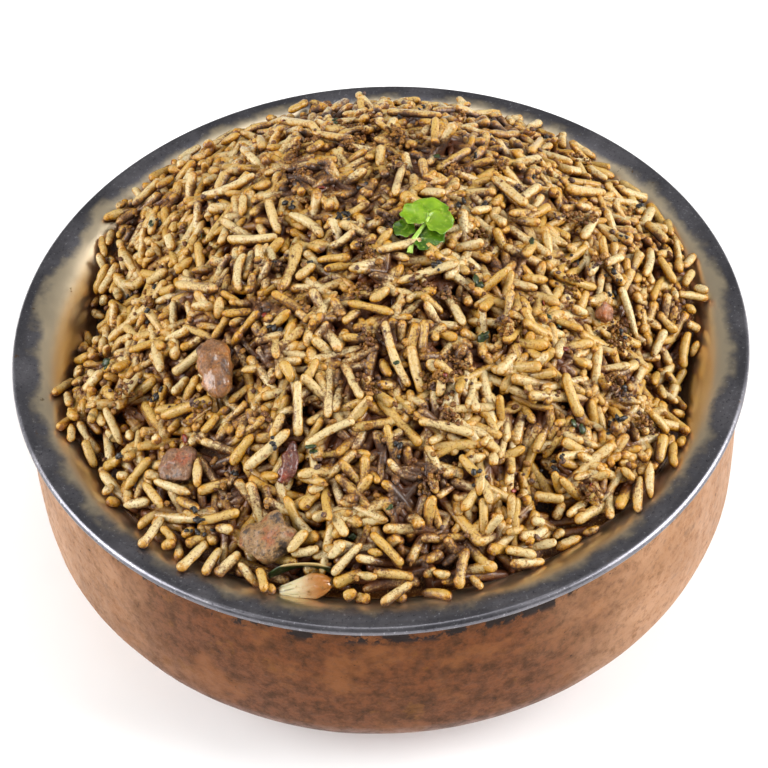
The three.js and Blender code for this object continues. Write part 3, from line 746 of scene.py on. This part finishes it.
class Grain:
    """One grain's form and lie: the middle of its axis, its direction and its upper side."""

    def __init__(self, rng):
        self.length = rng.uniform(*GRAIN_LENGTH)
        if rng.random() < SHORT_SHARE:
            self.length *= SHORT_LENGTH
        self.width = GRAIN_WIDTH * rng.uniform(0.86, 1.1)
        self.bend = 0.12 * rng.normal()
        self.heading = rng.uniform(0, 2 * math.pi)
        self.lean = rng.uniform(-0.16, 0.16)  # thicker at one end
        self.shoulder = rng.uniform(*SHOULDER)
        self.squareness = rng.uniform(1.9, 3.4)
        self.twist = rng.uniform(0, 2 * math.pi)
        self.share = np.linspace(-1, 1, BALLS + 2)[1:-1]
        self.radii = np.maximum(self.radius_at(self.share), 0.3)

    def radius_at(self, share):
        """Radius by the share along the axis, -1 to 1: a sausage with blunt ends."""
        from_end = (1 - np.abs(share)) * self.length / 2
        inward = 1 - np.clip(from_end / self.shoulder, 0, 1)
        return 0.5 * self.width * (1 + self.lean * share) * np.sqrt(1 - inward**self.squareness)

    def bow(self, share):
        """How far the bent axis is from a straight one."""
        return self.bend * self.length * (1 / 12 - share**2 / 4)

    def axis(self, share):
        """Points on the bent axis by their shares along it."""
        straight = self.middle + (share * self.length / 2)[:, None] * self.along
        return straight + self.bow(share)[:, None] * self.side

    def lie_on(self, pile, place):
        """Rests on the pile at two points; returns its balls."""
        level = np.array([math.cos(self.heading), math.sin(self.heading), 0])
        self.side = np.array([-level[1], level[0], 0])
        shrink = 1.0
        for _ in range(2):
            along = self.share * self.length / 2 * shrink
            flat = place + along[:, None] * level[:2] + self.bow(self.share)[:, None] * self.side[:2]
            middle, slope = resting_line(along, pile.clear_height(flat, self.radii))
            shrink = 1 / math.hypot(1, slope)
        self.middle = np.array([*place, middle - SINK])
        self.along = np.array([level[0] * shrink, level[1] * shrink, slope * shrink])
        return np.column_stack([flat, middle + slope * along - SINK])

    def turn_up(self, normal, tilt):
        """Turns to its heading along the skin, tilted out of it by an angle."""
        self.along = along_skin(normal, self.heading) * math.cos(tilt) + normal * math.sin(tilt)
        side = np.cross(normal, self.along)
        self.side = side / np.linalg.norm(side)

    def bury(self, pile, place, depth, tilt):
        """Lies along the heap's skin at a depth under the grains' tops."""
        normal = pile.at(pile.normal, place)
        self.turn_up(normal, tilt)
        self.middle = np.array([*place, pile.at(pile.target, place)]) - depth * normal
        return self.axis(self.share)

    def stand_in(self, pile, place, rng):
        """Sticks out of the pile at a steep angle, its lower part in it."""
        self.bend = 0.0
        tilt = rng.uniform(0.25, 1.25)
        self.turn_up(pile.at(pile.normal, place), tilt)
        out = min(0.4 * self.length * math.sin(tilt), rng.uniform(0.8, 3.0))
        surface = np.array([*place, pile.at(pile.height, place)])
        self.middle = surface + self.along * (out / math.sin(tilt) - self.length / 2)
        return self.axis(self.share)


def resting_line(along, clear):
    """Height at the middle and slope of the line that rests on a ball at each side."""
    left, right = along < 0, along > 0
    s0, s1 = along[left][:, None], along[right][None]
    c0, c1 = clear[left][:, None], clear[right][None]
    middle = (c0 * s1 - c1 * s0) / (s1 - s0)
    best = np.unravel_index(np.argmax(middle), middle.shape)
    slope = ((c1 - c0) / (s1 - s0))[best]
    return middle[best], float(np.clip(slope, -1.4, 1.4))


def is_free(balls, clearance):
    """True if no ball is in a topping."""
    return not any(seat.holds(balls, clearance).any() for seat in SOLID_SEATS)


def clears_bowl(balls, radii):
    """True if every ball stays inside the liner."""
    outward = np.hypot(balls[:, 0], balls[:, 1])
    return (balls[:, 2] - liner_height(outward) > radii * 1.1).all()


def bury_grains(pile, rng):
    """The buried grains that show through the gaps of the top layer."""
    grains = []
    inside = np.flatnonzero(pile.reach < 1.0)
    for place in pile.middles(rng.choice(inside, BURIED_COUNT)):
        grain = Grain(rng)
        balls = grain.bury(pile, place, rng.uniform(*BURIED_DEPTH), rng.normal(0, 0.3))
        if clears_bowl(balls, grain.radii) and is_free(balls, 0.2):
            pile.stamp(balls, grain.radii, len(grains))
            grains.append(grain)
    return grains


def settle(pile, grain, balls, grains, rng):
    """Adds a grain unless it stands too high over the heap's tops or meets a topping."""
    over = (balls[:, 2] + grain.radii - pile.at(pile.target, balls[:, :2])).max()
    if over > rng.uniform(*OVERSHOOT) or not is_free(balls, -0.2):
        return False
    pile.stamp(balls, grain.radii, len(grains))
    grains.append(grain)
    return True


def lay_edge(pile, grains, rng):
    """Grains along the liner, where few others find a place."""
    for _ in range(EDGE_ROUNDS):
        for place in pile.low_places(rng, (0.9, 1.02)):
            grain = Grain(rng)
            grain.length *= EDGE_LENGTH
            grain.heading = math.atan2(place[1], place[0]) + math.pi / 2 + 0.9 * rng.normal()
            settle(pile, grain, grain.lie_on(pile, place), grains, rng)


def grow_grains(pile):
    """Drops grains where the heap is low until hardly any finds a place."""
    rng = np.random.default_rng(GROW_SEED)
    grains = bury_grains(pile, rng)
    lay_edge(pile, grains, rng)
    settled = BATCH
    steep_count = 0
    laid_count = 1
    while settled >= FEWEST:
        settled = 0
        for place in pile.low_places(rng, (0, 1)):
            grain = Grain(rng)
            grain.heading = pile.at(pile.drift, place) + DRIFT_SPREAD * rng.normal()
            steep = steep_count < STEEP_SHARE * laid_count and pile.at(pile.reach, place) < 0.92
            balls = grain.stand_in(pile, place, rng) if steep else grain.lie_on(pile, place)
            if settle(pile, grain, balls, grains, rng):
                settled += 1
                steep_count += steep
                laid_count += 1
    return grains


# ---------- grain meshes ----------


def grain_mesh(grain, normal, rng):
    """Points of one grain; how near each is to an end, 1 to 0; and 0 on top to 1 underneath."""
    shoulder_share = 1 - 2 * np.array(END_RINGS) * grain.shoulder / grain.length
    inner = shoulder_share[-1] * np.linspace(-1, 1, MIDDLE_RINGS + 2)[1:-1]
    share = np.concatenate([-shoulder_share, inner, shoulder_share[::-1]])
    radius = grain.radius_at(share)
    radius *= 1 + 0.05 * np.sin(share * rng.uniform(4, 9) + rng.uniform(0, 6))
    radius *= 1 + 0.035 * rng.normal(size=len(share))
    angles = np.arange(GRAIN_SIDES) * 2 * math.pi / GRAIN_SIDES + grain.twist
    groove = 1 + 0.06 * np.cos(2 * angles + rng.uniform(0, 6)) + 0.04 * np.cos(3 * angles)
    up = np.cross(grain.along, grain.side)
    ring = np.cos(angles)[:, None] * grain.side + np.sin(angles)[:, None] * up
    points = grain.axis(share)[:, None] + (radius[:, None] * groove)[..., None] * ring
    ends = grain.axis(np.array([-1.0, 1.0]))
    whole = np.concatenate([ends[:1], points.reshape(-1, 3), ends[1:]])
    near = 1 - np.clip((1 - np.abs(share)) * grain.length / 2 / TIP_LENGTH, 0, 1)
    tip = np.concatenate([[END_CENTRE], np.repeat(near, GRAIN_SIDES), [END_CENTRE]])
    # flank: 0 on a grain's top to 1 underneath, for painted shade on its underside
    flank = np.concatenate([[0.4], np.tile(0.5 - 0.5 * ring @ normal, GRAIN_RINGS), [0.4]])
    return whole, tip, flank


def rice_pieces(pile, grains):
    rng = np.random.default_rng(MESH_SEED)
    around = pile.smoothed(HOLLOW_SIZE)
    shown = set(pile.owner.flat)
    kinds = {name: [] for name in GRAIN_KINDS}
    for number, grain in enumerate(grains):
        kind = GRAIN_KINDS[rng.integers(len(GRAIN_KINDS))]
        if number in shown:
            kinds[kind].append(grain)
    pattern = ring_faces(GRAIN_RINGS, GRAIN_SIDES)
    paint = rice_paint()
    for number, (name, members) in enumerate(kinds.items()):
        parts, fields = [], []
        for grain in members:
            points, tip, flank = grain_mesh(grain, pile.at(pile.normal, grain.middle[:2]), rng)
            tone = np.full(len(points), (number + rng.random()) / len(GRAIN_KINDS))
            parts.append((points, pattern))
            # the last field, deep, is how far a point lies under the blurred heap, for painted shade in
            # the hollows
            fields.append([tone, tip, flank, pile.at(around, points[:, :2]) - points[:, 2]])
        tone, tip, flank, deep = np.concatenate(fields, axis=1)
        mesh_piece(name, *joined(parts), paint, "rice", tone=tone, tip=tip, flank=flank, deep=deep)


def rice_paint():
    """Cream where a grain stands out; turmeric yellow and then brown on its underside and where it lies
    deep: turmeric and pooled sauce, and painted shade.
    """
    sinking = soft(0.15, (1.0, 0.6, 0.25), 0.8)
    paint = Paint("rice_moist", **sinking, **glazed(0.35, 0.12), Specular_IOR_Level=0.4)
    tone, tip, flank, deep = map(paint.attribute, ("tone", "tip", "flank", "deep"))
    region = paint.noise(22, 2, 0.5)
    patch = paint.noise(7, 3, 0.55)
    mottle = paint.noise(1.3, 3, 0.6)
    speck = paint.noise(0.5, 4, 0.7)
    sideways = paint.math("ABSOLUTE", paint.axis("X"))
    # turmeric tint and painted shade: undersides (flank) and hollows (deep) are painted yellower and
    # browner
    tint_and_painted_light = paint.total((mottle, 0.9), (tip, 0.2), (flank, 0.5), (region, 0.3), (deep, 0.06))
    # grains along the middle of the heap are coloured darker than those at its left and right
    stain_and_painted_shade = paint.total(
        (patch, 0.9), (speck, 0.6), (region, 0.6), (flank, 0.25), (deep, 0.05), (sideways, -2.0)
    )
    base = paint.coats(
        "#d2be8c",
        (tone, 0.1, 0.9, "#c09c50", 1),
        (tint_and_painted_light, 0.56, 0.88, "#bd8206", 0.92),
        (tint_and_painted_light, 0.84, 1.04, "#703802", 0.9),
        (speck, 0.52, 0.66, "#865012", 0.75),
        (stain_and_painted_shade, 1.0, 1.16, "#6b3d10", 0.9),
        (stain_and_painted_shade, 1.12, 1.26, "#382214", 0.95),
        # painted shade in the hollows between grains, with pooled sauce: dark brown where a point lies
        # deep
        (paint.total((deep, 1.0), (patch, 2.4)), 1.3, 3.3, "#5e2c00", 0.95),
    )
    rough = paint.ramp(stain_and_painted_shade, 1.04, 1.24, 0.24, 0.5)
    return paint.finish(base, rough, (speck, 0.3, 1.0), (mottle, 0.4, 0.6))


def masala_paint():
    paint = Paint("masala", Specular_IOR_Level=0.4)
    grainy = paint.noise(0.45, 3, 0.7)
    base = paint.coats(
        "#5c3005",
        (paint.attribute("tone"), 0.2, 0.9, "#91601c", 1),
        (paint.noise(6, 3, 0.5), 0.5, 0.62, "#563e36", 1),
        (grainy, 0.54, 0.7, "#ba8f4e", 1),
        (grainy, 0.46, 0.32, "#2e1604", 1),
    )
    return paint.finish(base, paint.span(grainy, 0.25, 0.6), (grainy, 0.3, 0.8))


# ---------- masala crumbs, herb and chilli bits ----------


def drop_crumb(pile, place, radius, flatness, rng):
    """Lets a crumb fall on the pile; its middle and axes, or None where it meets a topping."""
    reach = np.array([max(0.7 * radius, CELL)])
    height = pile.clear_height(place[None], reach)[0] + 0.45 * radius - reach[0]
    ball = np.array([[*place, height]])
    if not is_free(ball, -0.4):
        return None
    pile.stamp(ball, np.array([radius * 0.8]), pile.owner.max() + 1)
    normal = pile.at(pile.normal, place)
    level = along_skin(normal, rng.uniform(0, 2 * math.pi))
    up = normal + 0.35 * rng.normal(size=3)
    up -= level * (level @ up)
    up /= np.linalg.norm(up)
    sizes = radius * np.array([rng.uniform(0.9, 1.35), rng.uniform(0.7, 1.0), flatness])
    return ball[0], np.stack([level, np.cross(up, level), up], -1) * sizes


def scatter(pile, places, radii, flatness, rng):
    """Crumbs dropped at places, their radii in a range and mostly near its low end."""
    sizes = radii[0] + (radii[1] - radii[0]) * rng.random(len(places)) ** 1.6
    found = [
        drop_crumb(pile, place, size, flatness * rng.uniform(0.8, 1.2), rng)
        for place, size in zip(places, sizes)
    ]
    return [crumb for crumb in found if crumb]


def gap_places(pile, rng):
    """Places in the gaps between grains."""
    low = (pile.target - pile.height > 1.2) & (pile.reach < 0.99)
    return pile.middles(rng.choice(np.flatnonzero(low), GAP_CRUMBS))


def clump_places(pile, clumps, each, spread, rng):
    """Places bunched round random middles."""
    centres = pile.middles(rng.choice(np.flatnonzero(pile.reach < 0.94), clumps))
    places = centres[:, None] + rng.normal(0, spread, (clumps, each, 2))
    places = places.reshape(-1, 2)
    return places[pile.at(pile.reach, places) < 0.97]


def crumb_piece(name, crumbs, paint, slot, roughness, rng):
    ball, pattern = ball_skin(2)
    parts, tones = [], []
    for middle, axes in crumbs:
        bumps = 1 + roughness * rng.uniform(-1, 1, (len(ball), 1))
        parts.append((middle + (ball * bumps) @ axes.T, pattern))
        tones.append(rng.random())
    mesh_piece(name, *joined(parts), paint, slot, tone=np.repeat(tones, len(ball)))


def add_crumbs(pile):
    rng = np.random.default_rng(CRUMB_SEED)
    fill = scatter(pile, gap_places(pile, rng), GAP_RADII, 0.8, rng)
    clumps = clump_places(pile, *PASTE_CLUMPS, rng)
    paste = scatter(pile, clumps, PASTE_RADII, 0.7, rng)
    spots = np.repeat(CHAR_PLACES, CHAR_CRUMBS, axis=0)
    spots = spots + rng.normal(0, CHAR_SPREAD, spots.shape)
    burnt = np.concatenate([spots, clump_places(pile, *CHAR_CLUMPS, rng)])
    char = scatter(pile, burnt, CHAR_RADII, 0.6, rng)
    crumb_piece("masala_fill", fill, masala_paint(), "rice", 0.22, rng)
    crumb_piece("masala_paste", paste, masala_paint(), "rice", 0.22, rng)
    crumb_piece("charred_bits", char, charred_paint(), "rice", 0.3, rng)
    herbs = clump_places(pile, *HERB_CLUMPS, rng)
    chillies = clump_places(pile, *CHILLI_CLUMPS, rng)
    green = scatter(pile, herbs, HERB_RADII, 0.25, rng)
    red = scatter(pile, chillies, CHILLI_RADII, 0.3, rng)
    crumb_piece("herb_bits", green, bit_paint("herb_bit", "#35431a", "#161d0a"), "herb", 0.3, rng)
    crumb_piece("chilli_bits", red, bit_paint("chilli_bit", "#8a2c10", "#4a150a"), "meat", 0.25, rng)


def charred_paint():
    paint = Paint("charred", Specular_IOR_Level=0.5)
    grainy = paint.noise(0.4, 3, 0.6)
    base = paint.coats("#100d0c", (grainy, 0.4, 0.7, "#3a322c", 1))
    return paint.finish(base, paint.span(grainy, 0.3, 0.55))


def bit_paint(name, light, dark):
    paint = Paint(name, Specular_IOR_Level=0.5)
    mottle = paint.noise(0.9, 3, 0.6)
    base = paint.coats(light, (mottle, 0.35, 0.65, dark, 1))
    return paint.finish(base, paint.span(mottle, 0.3, 0.5))


# ---------- toppings ----------


def blade(place, thickness, steps, edge=0.25):
    """A closed thin skin over a grid; place gives its middle for u and v from 0 to 1."""
    rows, columns = np.array(steps) + 1
    u, v = np.meshgrid(np.linspace(0, 1, rows), np.linspace(0, 1, columns), indexing="ij")
    middle = place(u, v)
    nudge = 0.01
    normal = np.cross(
        place(u + nudge, v) - place(u - nudge, v),
        place(u, v + nudge) - place(u, v - nudge),
    )
    normal /= np.linalg.norm(normal, axis=-1, keepdims=True)
    rim = np.minimum(np.minimum(u, 1 - u), np.minimum(v, 1 - v))
    half = 0.5 * thickness * np.interp(rim, (0, 0.08), (edge, 1))[..., None] * normal
    points = np.concatenate([middle + half, middle - half]).reshape(-1, 3)
    at = np.arange(rows * columns).reshape(rows, columns)
    under = rows * columns
    a, b, c, d = at[:-1, :-1], at[1:, :-1], at[1:, 1:], at[:-1, 1:]

    def wall(line, turn):
        """Faces under a border line. Turn sets their first corner, and so how they are cut."""
        start, end = line[:-1], line[1:]
        return np.roll(np.stack([start, start + under, end + under, end], -1), -turn, axis=1)

    faces = (
        np.stack([a, b, c, d], -1).reshape(-1, 4),
        np.stack([a, d, c, b], -1).reshape(-1, 4) + under,
        wall(at[:, 0], 0),
        wall(at[::-1, -1], 0),
        wall(at[-1], 1),
        wall(at[0, ::-1], 1),
    )
    return points, np.concatenate(faces)


def tube(path, radii):
    """A closed round skin along a path of points."""
    along = np.gradient(path, axis=0)
    along /= np.linalg.norm(along, axis=1, keepdims=True)
    side = np.cross(along, (0, 0, 1))
    side /= np.linalg.norm(side, axis=1, keepdims=True)
    up = np.cross(side, along)
    angles = (np.arange(STEM_SIDES) * 2 * math.pi / STEM_SIDES)[:, None]
    ring = np.cos(angles) * side[:, None] + np.sin(angles) * up[:, None]
    rings = path[:, None] + radii[:, None, None] * ring
    points = np.concatenate([path[:1], rings.reshape(-1, 3), path[-1:]])
    return points, ring_faces(len(path), STEM_SIDES, flip=True)


def smooth_path(points, steps):
    """A rounded line through points: Catmull-Rom, with the ends doubled."""
    knots = np.array([points[0], *points, points[-1]], float)
    line = []
    for i in range(len(points) - 1):
        a, b, c, d = knots[i : i + 4]
        for t in np.linspace(0, 1, steps, endpoint=i == len(points) - 2):
            line.append(0.5 * (2 * b + (c - a) * t + (2 * a - 5 * b + 4 * c - d) * t**2
                               + (3 * b - a - 3 * c + d) * t**3))
    return np.array(line)


def on_heap(name, points, faces, paint, slot):
    """A topping's piece in its seat; its name is the node's and one more word."""
    node = name.rsplit("_", 1)[0]
    piece = mesh_piece(name, SEATS[node].to_world(points), faces, paint, slot)
    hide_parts(node)


def leaflet(root, tip, half_width, fold, seed):
    """A lobed leaflet from root to tip, folded along its rib, with a wavy edge."""
    root = np.array(root, float)
    along = tip - root
    sideways = np.cross((0, 0, 1), along)
    sideways /= np.linalg.norm(sideways)

    def place(u, v):
        spread = 2 * v - 1
        bounded = np.clip(u, 0, 1)
        width = half_width * (0.1 + np.sin(np.pi * np.clip(0.06 + 0.88 * bounded, 0, 0.97)) ** 0.7)
        width = width * (1 + LEAF_TEETH * np.cos(bounded * 4 * np.pi + seed))
        point = root + u[..., None] * along + (spread * width)[..., None] * sideways
        ripple = 0.22 * np.sin(7 * u + 4 * spread + seed) * np.abs(spread)
        vein = 0.1 * np.abs(np.sin(6 * np.pi * (u - 0.35 * np.abs(spread))))
        height = fold * np.abs(spread) ** 1.3 + ripple + vein
        return point + height[..., None] * np.array([0, 0, 1.0])

    return place


FORK = (0.9, 0.1, 0.2)
GARNISH_LEAFLETS = (  # root, tip, half width, fold
    (FORK, (-4.3, 2.5, 0.7), 3.0, 0.8),
    (FORK, (2.6, 6.3, 1.3), 4.2, -0.6),
    (FORK, (6.5, -1.4, 0.0), 3.4, 0.6),
    ((0.4, -0.6, -0.5), (3.6, -5.6, -0.9), 2.6, -0.6),
    ((-1.6, -1.0, -1.1), (-6.2, -1.2, -1.3), 2.5, 0.4),
    ((-1.0, -4.0, -1.3), (0.6, -7.2, -1.5), 1.6, 0.4),
)
STEM_LINE = ((1.9, 2.6, 0.6), FORK, (-0.7, -2.2, -0.4), (-2.4, -4.6, -1.2), (-3.2, -7.2, -2.2))


def garnish():
    blades = [
        blade(leaflet(*shape, seed=1.7 * i), 0.18, (20, 14)) for i, shape in enumerate(GARNISH_LEAFLETS)
    ]
    stem = smooth_path(STEM_LINE, 6)
    strand = stem[4:] + np.linspace([0.1, -0.1, 0.1], [0.55, -0.15, 0], len(stem) - 4)
    stalks = [
        tube(stem, np.interp(np.linspace(0, 1, len(stem)), (0, 0.3, 1), (0.12, 0.3, 0.42))),
        tube(strand, np.full(len(strand), 0.32)),
    ]
    on_heap("garnish_leaf_blades", *joined(blades), leaf_paint(), "herb")
    on_heap("garnish_leaf_stem", *joined(stalks), stem_paint(), "herb")


def leaf_paint():
    sinking = soft(0.25, (0.5, 0.9, 0.2))
    paint = Paint("leaf_fresh", **sinking, Specular_IOR_Level=0.6)
    broad = paint.noise(3.2, 2, 0.5)
    fine = paint.noise(0.8, 3, 0.6)
    middle = SEATS["garnish_leaf"].middle[2]
    base = paint.coats(
        "#5c8008",
        (broad, 0.36, 0.64, "#7a9c14", 1),
        # painted shade: the sprig is painted darker green below its middle height
        (paint.axis("Z"), (middle + 0.9) * MM, (middle - 1.2) * MM, "#345608", 1),
        (fine, 0.55, 0.7, "#a6b84e", 0.5),
    )
    return paint.finish(base, paint.span(broad, 0.2, 0.38), (fine, 0.15, 0.7))


def stem_paint():
    paint = Paint("leaf_stem", Specular_IOR_Level=0.6)
    streak = paint.noise(0.9, 3, 0.6)
    base = paint.coats("#b6d264", (streak, 0.35, 0.65, "#8db53c", 1))
    return paint.finish(base, paint.span(streak, 0.25, 0.4))


def curry_leaf():
    """A dried curry leaf on its edge, arched over the rice."""
    length, _, height = SEATS["curry_leaf"].size

    def place(u, v):
        bend = np.sin(np.pi * np.clip(u, 0, 1))
        taper = 0.22 + 0.78 * bend
        curl = 0.25 * np.sin(9 * u) * (v - 0.3)
        return np.stack([
            length * (u - 0.5),
            1.6 * bend - 0.8 + 0.9 * (v - 0.5) + curl,
            height * ((v - 0.5) * taper + 0.1 * bend),
        ], -1)

    on_heap("curry_leaf_blade", *blade(place, 0.45, (28, 10), 0.5), curry_leaf_paint(), "dried_leaf")


def curry_leaf_paint():
    paint = Paint("leaf_dried", Specular_IOR_Level=0.6)
    mottle = paint.noise(1.3, 4, 0.65)
    middle = SEATS["curry_leaf"].middle[2]
    base = paint.coats(
        "#223a10",
        (mottle, 0.35, 0.65, "#10190b", 1),
        (mottle, 0.6, 0.7, "#5c6a35", 1),
        (paint.axis("Z"), (middle + 1.4) * MM, (middle + 2.2) * MM, "#b39a63", 1),
    )
    return paint.finish(base, paint.span(mottle, 0.25, 0.45), (mottle, 0.25, 0.8))


def onion_piece():
    """A curled wedge of fried onion, thick at its root."""
    length, width, height = SEATS["onion_piece_front"].size

    def place(u, v):
        taper = 1 - 0.72 * np.abs(u - 0.68) / 0.68
        taper = taper * np.sqrt(1 - 0.9 * np.clip((u - 0.78) / 0.22, 0, 1) ** 2)
        ribs = 0.06 * np.sin(7 * np.pi * v)
        return np.stack([
            length * (u - 0.5),
            width * (v - 0.5) * taper,
            height * (0.22 * np.sin(np.pi * v) + 0.25 * u * (1 - v)) + ribs,
        ], -1)

    on_heap("onion_piece_front_wedge", *blade(place, height * 0.42, (26, 16), 0.6), onion_paint(), "onion")


def onion_paint():
    sinking = soft(0.35, (1.5, 0.8, 0.3))
    paint = Paint("onion_fried", **sinking, **glazed(0.6, 0.08), Specular_IOR_Level=0.6)
    middle = SEATS["onion_piece_front"].middle[0]
    streak = paint.noise(1.6, 3, 0.6)
    toward = paint.total((paint.axis("X"), 1.0), (streak, 3.0 * MM))
    base = paint.coats(
        "#c9bd98",
        (toward, (middle - 1.5) * MM, (middle + 4.5) * MM, "#9c6428", 1),
        (streak, 0.6, 0.72, "#7c5a2a", 1),
    )
    return paint.finish(base, paint.span(streak, 0.12, 0.25), (streak, 0.3, 0.6))


CHUNKS = (  # node, seed, roughness, squareness, colours: main, dark, warm; gloss
    ("meat_piece_left", 3, 0.16, 3.2, ("#7f5227", "#45260f", "#a0621e"), 0.8),
    ("meat_piece_front", 5, 0.2, 3.0, ("#8c6a41", "#37271c", "#8f4f24"), 0.15),
    ("meat_slab_left", 8, 0.3, 2.7, ("#7c5638", "#38241a", "#8a4722"), 0.25),
    ("meat_bit_right", 13, 0.16, 3.0, ("#9a6238", "#5a3018", "#a8561a"), 0.2),
    ("spice_skin_front", 21, 0.2, 2.4, ("#5c2410", "#2a130b", "#8a3410"), 0.7),
)


def rounded_chunk(size, roughness, seed, squareness):
    """An uneven block with rounded corners and torn, fibrous sides."""
    rng = np.random.default_rng(seed)
    ball, faces = ball_skin(5)
    power = (np.abs(ball) ** squareness).sum(axis=1)
    swell = np.zeros(len(ball))
    for _ in range(4):
        way = 7 * (rng.random(3) - 0.5)
        swell += np.sin(ball @ way + rng.uniform(0, 2 * math.pi))
    points = ball * (power ** (-1 / squareness) * (1 + roughness * swell / 4) * 0.5)[:, None] * size
    fibre = value_noise(points * (0.35, 1.0, 1.0), 0.7, seed)
    crag = value_noise(points, 1.8, seed + 1)
    fine = value_noise(points, 0.35, seed + 2)
    outward = ball / np.linalg.norm(ball, axis=1, keepdims=True)
    return points + (0.2 * fibre + 0.5 * crag + 0.06 * fine - 0.35)[:, None] * outward, faces


def meat_chunks():
    for name, seed, roughness, squareness, colours, gloss in CHUNKS:
        points, faces = rounded_chunk(SEATS[name].size, roughness, seed, squareness)
        on_heap(name + "_piece", points, faces, meat_paint(name, *colours, gloss), "meat")


def meat_paint(name, main, dark, warm, gloss):
    sinking = soft(0.2, (1.2, 0.5, 0.25))
    paint = Paint(name + "_meat", **sinking, **glazed(gloss, 0.12), Specular_IOR_Level=0.5)
    broad = paint.noise(3.4, 4, 0.6)
    fine = paint.noise(0.6, 3, 0.7)
    base = paint.coats(
        main,
        (broad, 0.5, 0.68, warm, 1),
        (broad, 0.46, 0.34, dark, 1),
        (fine, 0.52, 0.66, dark, 0.85),
        (fine, 0.42, 0.3, "#c09a6a", 0.6),
    )
    return paint.finish(base, paint.span(fine, 0.25, 0.55), (fine, 0.35, 1.0), (broad, 0.6, 0.7))


# ---------- stage ----------

CAMERA_PLACE = Vector((0.0, -0.281009, 0.364977))
CAMERA_ELEVATION = math.radians(48.993)
CAMERA_AZIMUTH = math.radians(-0.082)
CAMERA_ROLL = math.radians(-3.155)
CAMERA_LENS = 85.87
SENSOR = 36.0
FLOOR_SIZE = 3.0  # from the middle to an edge, in metres
LIGHTS = (  # name, place, size, power
    ("key_top", (0.0, 0.05, 0.95), (0.4, 0.4), 1.3),
    ("soft_left", (-0.8, -0.14, 0.5), (0.6, 0.7), 12),
    ("soft_right", (0.8, -0.12, 0.5), (0.6, 0.7), 15),
)


def add_camera():
    data = bpy.data.cameras.new("camera")
    data.lens = CAMERA_LENS
    data.sensor_width = SENSOR
    data.clip_start, data.clip_end = 0.01, 20
    across = math.cos(CAMERA_ELEVATION)
    back = Vector((
        math.sin(CAMERA_AZIMUTH) * across,
        -math.cos(CAMERA_AZIMUTH) * across,
        math.sin(CAMERA_ELEVATION),
    ))
    level = Vector((math.cos(CAMERA_AZIMUTH), math.sin(CAMERA_AZIMUTH), 0))
    right = level * math.cos(CAMERA_ROLL) + back.cross(level) * math.sin(CAMERA_ROLL)
    turn = Matrix((right, back.cross(right), back)).transposed().to_4x4()
    camera = placed("camera", data)
    camera.matrix_world = Matrix.Translation(CAMERA_PLACE) @ turn
    bpy.context.scene.camera = camera


def add_lights():
    """Soft rectangular lights that look at the middle of the bowl, and a pale world."""
    for name, place, size, power in LIGHTS:
        data = bpy.data.lights.new(name, "AREA")
        data.shape = "RECTANGLE"
        data.size, data.size_y = size
        data.energy = power
        light = placed(name, data)
        light.location = place
        light.rotation_mode = "QUATERNION"
        light.rotation_quaternion = (Vector((0, 0, 0.05)) - Vector(place)).to_track_quat("-Z", "Y")
    world = bpy.data.worlds.new("studio")
    world.use_nodes = True
    world.node_tree.nodes["Background"].inputs["Color"].default_value = (1, 1, 1, 1)
    world.node_tree.nodes["Background"].inputs["Strength"].default_value = 0.3
    bpy.context.scene.world = world
    bpy.context.scene.view_settings.view_transform = "Standard"


def add_floor():
    mesh = bpy.data.meshes.new("floor")
    far = FLOOR_SIZE
    mesh.from_pydata([(-far, -far, 0), (far, -far, 0), (far, far, 0), (-far, far, 0)], [], [(0, 1, 2, 3)])
    paint = Paint("floor_pale", Specular_IOR_Level=0.1)
    base = paint.coats("#f3f3f3", (paint.noise(40, 3, 0.5), 0.3, 0.7, "#f7f7f7", 1))
    mesh.materials.append(paint.finish(base, 0.9))
    floor = placed("floor", mesh)


# ---------- everything ----------

add_camera()
add_floor()
add_lights()
copper_shell()
steel_liner()
pile = Pile()
grains = grow_grains(pile)
rice_core()
rice_pieces(pile, grains)
add_crumbs(pile)
garnish()
curry_leaf()
onion_piece()
meat_chunks()

bpy.context.view_layer.update()
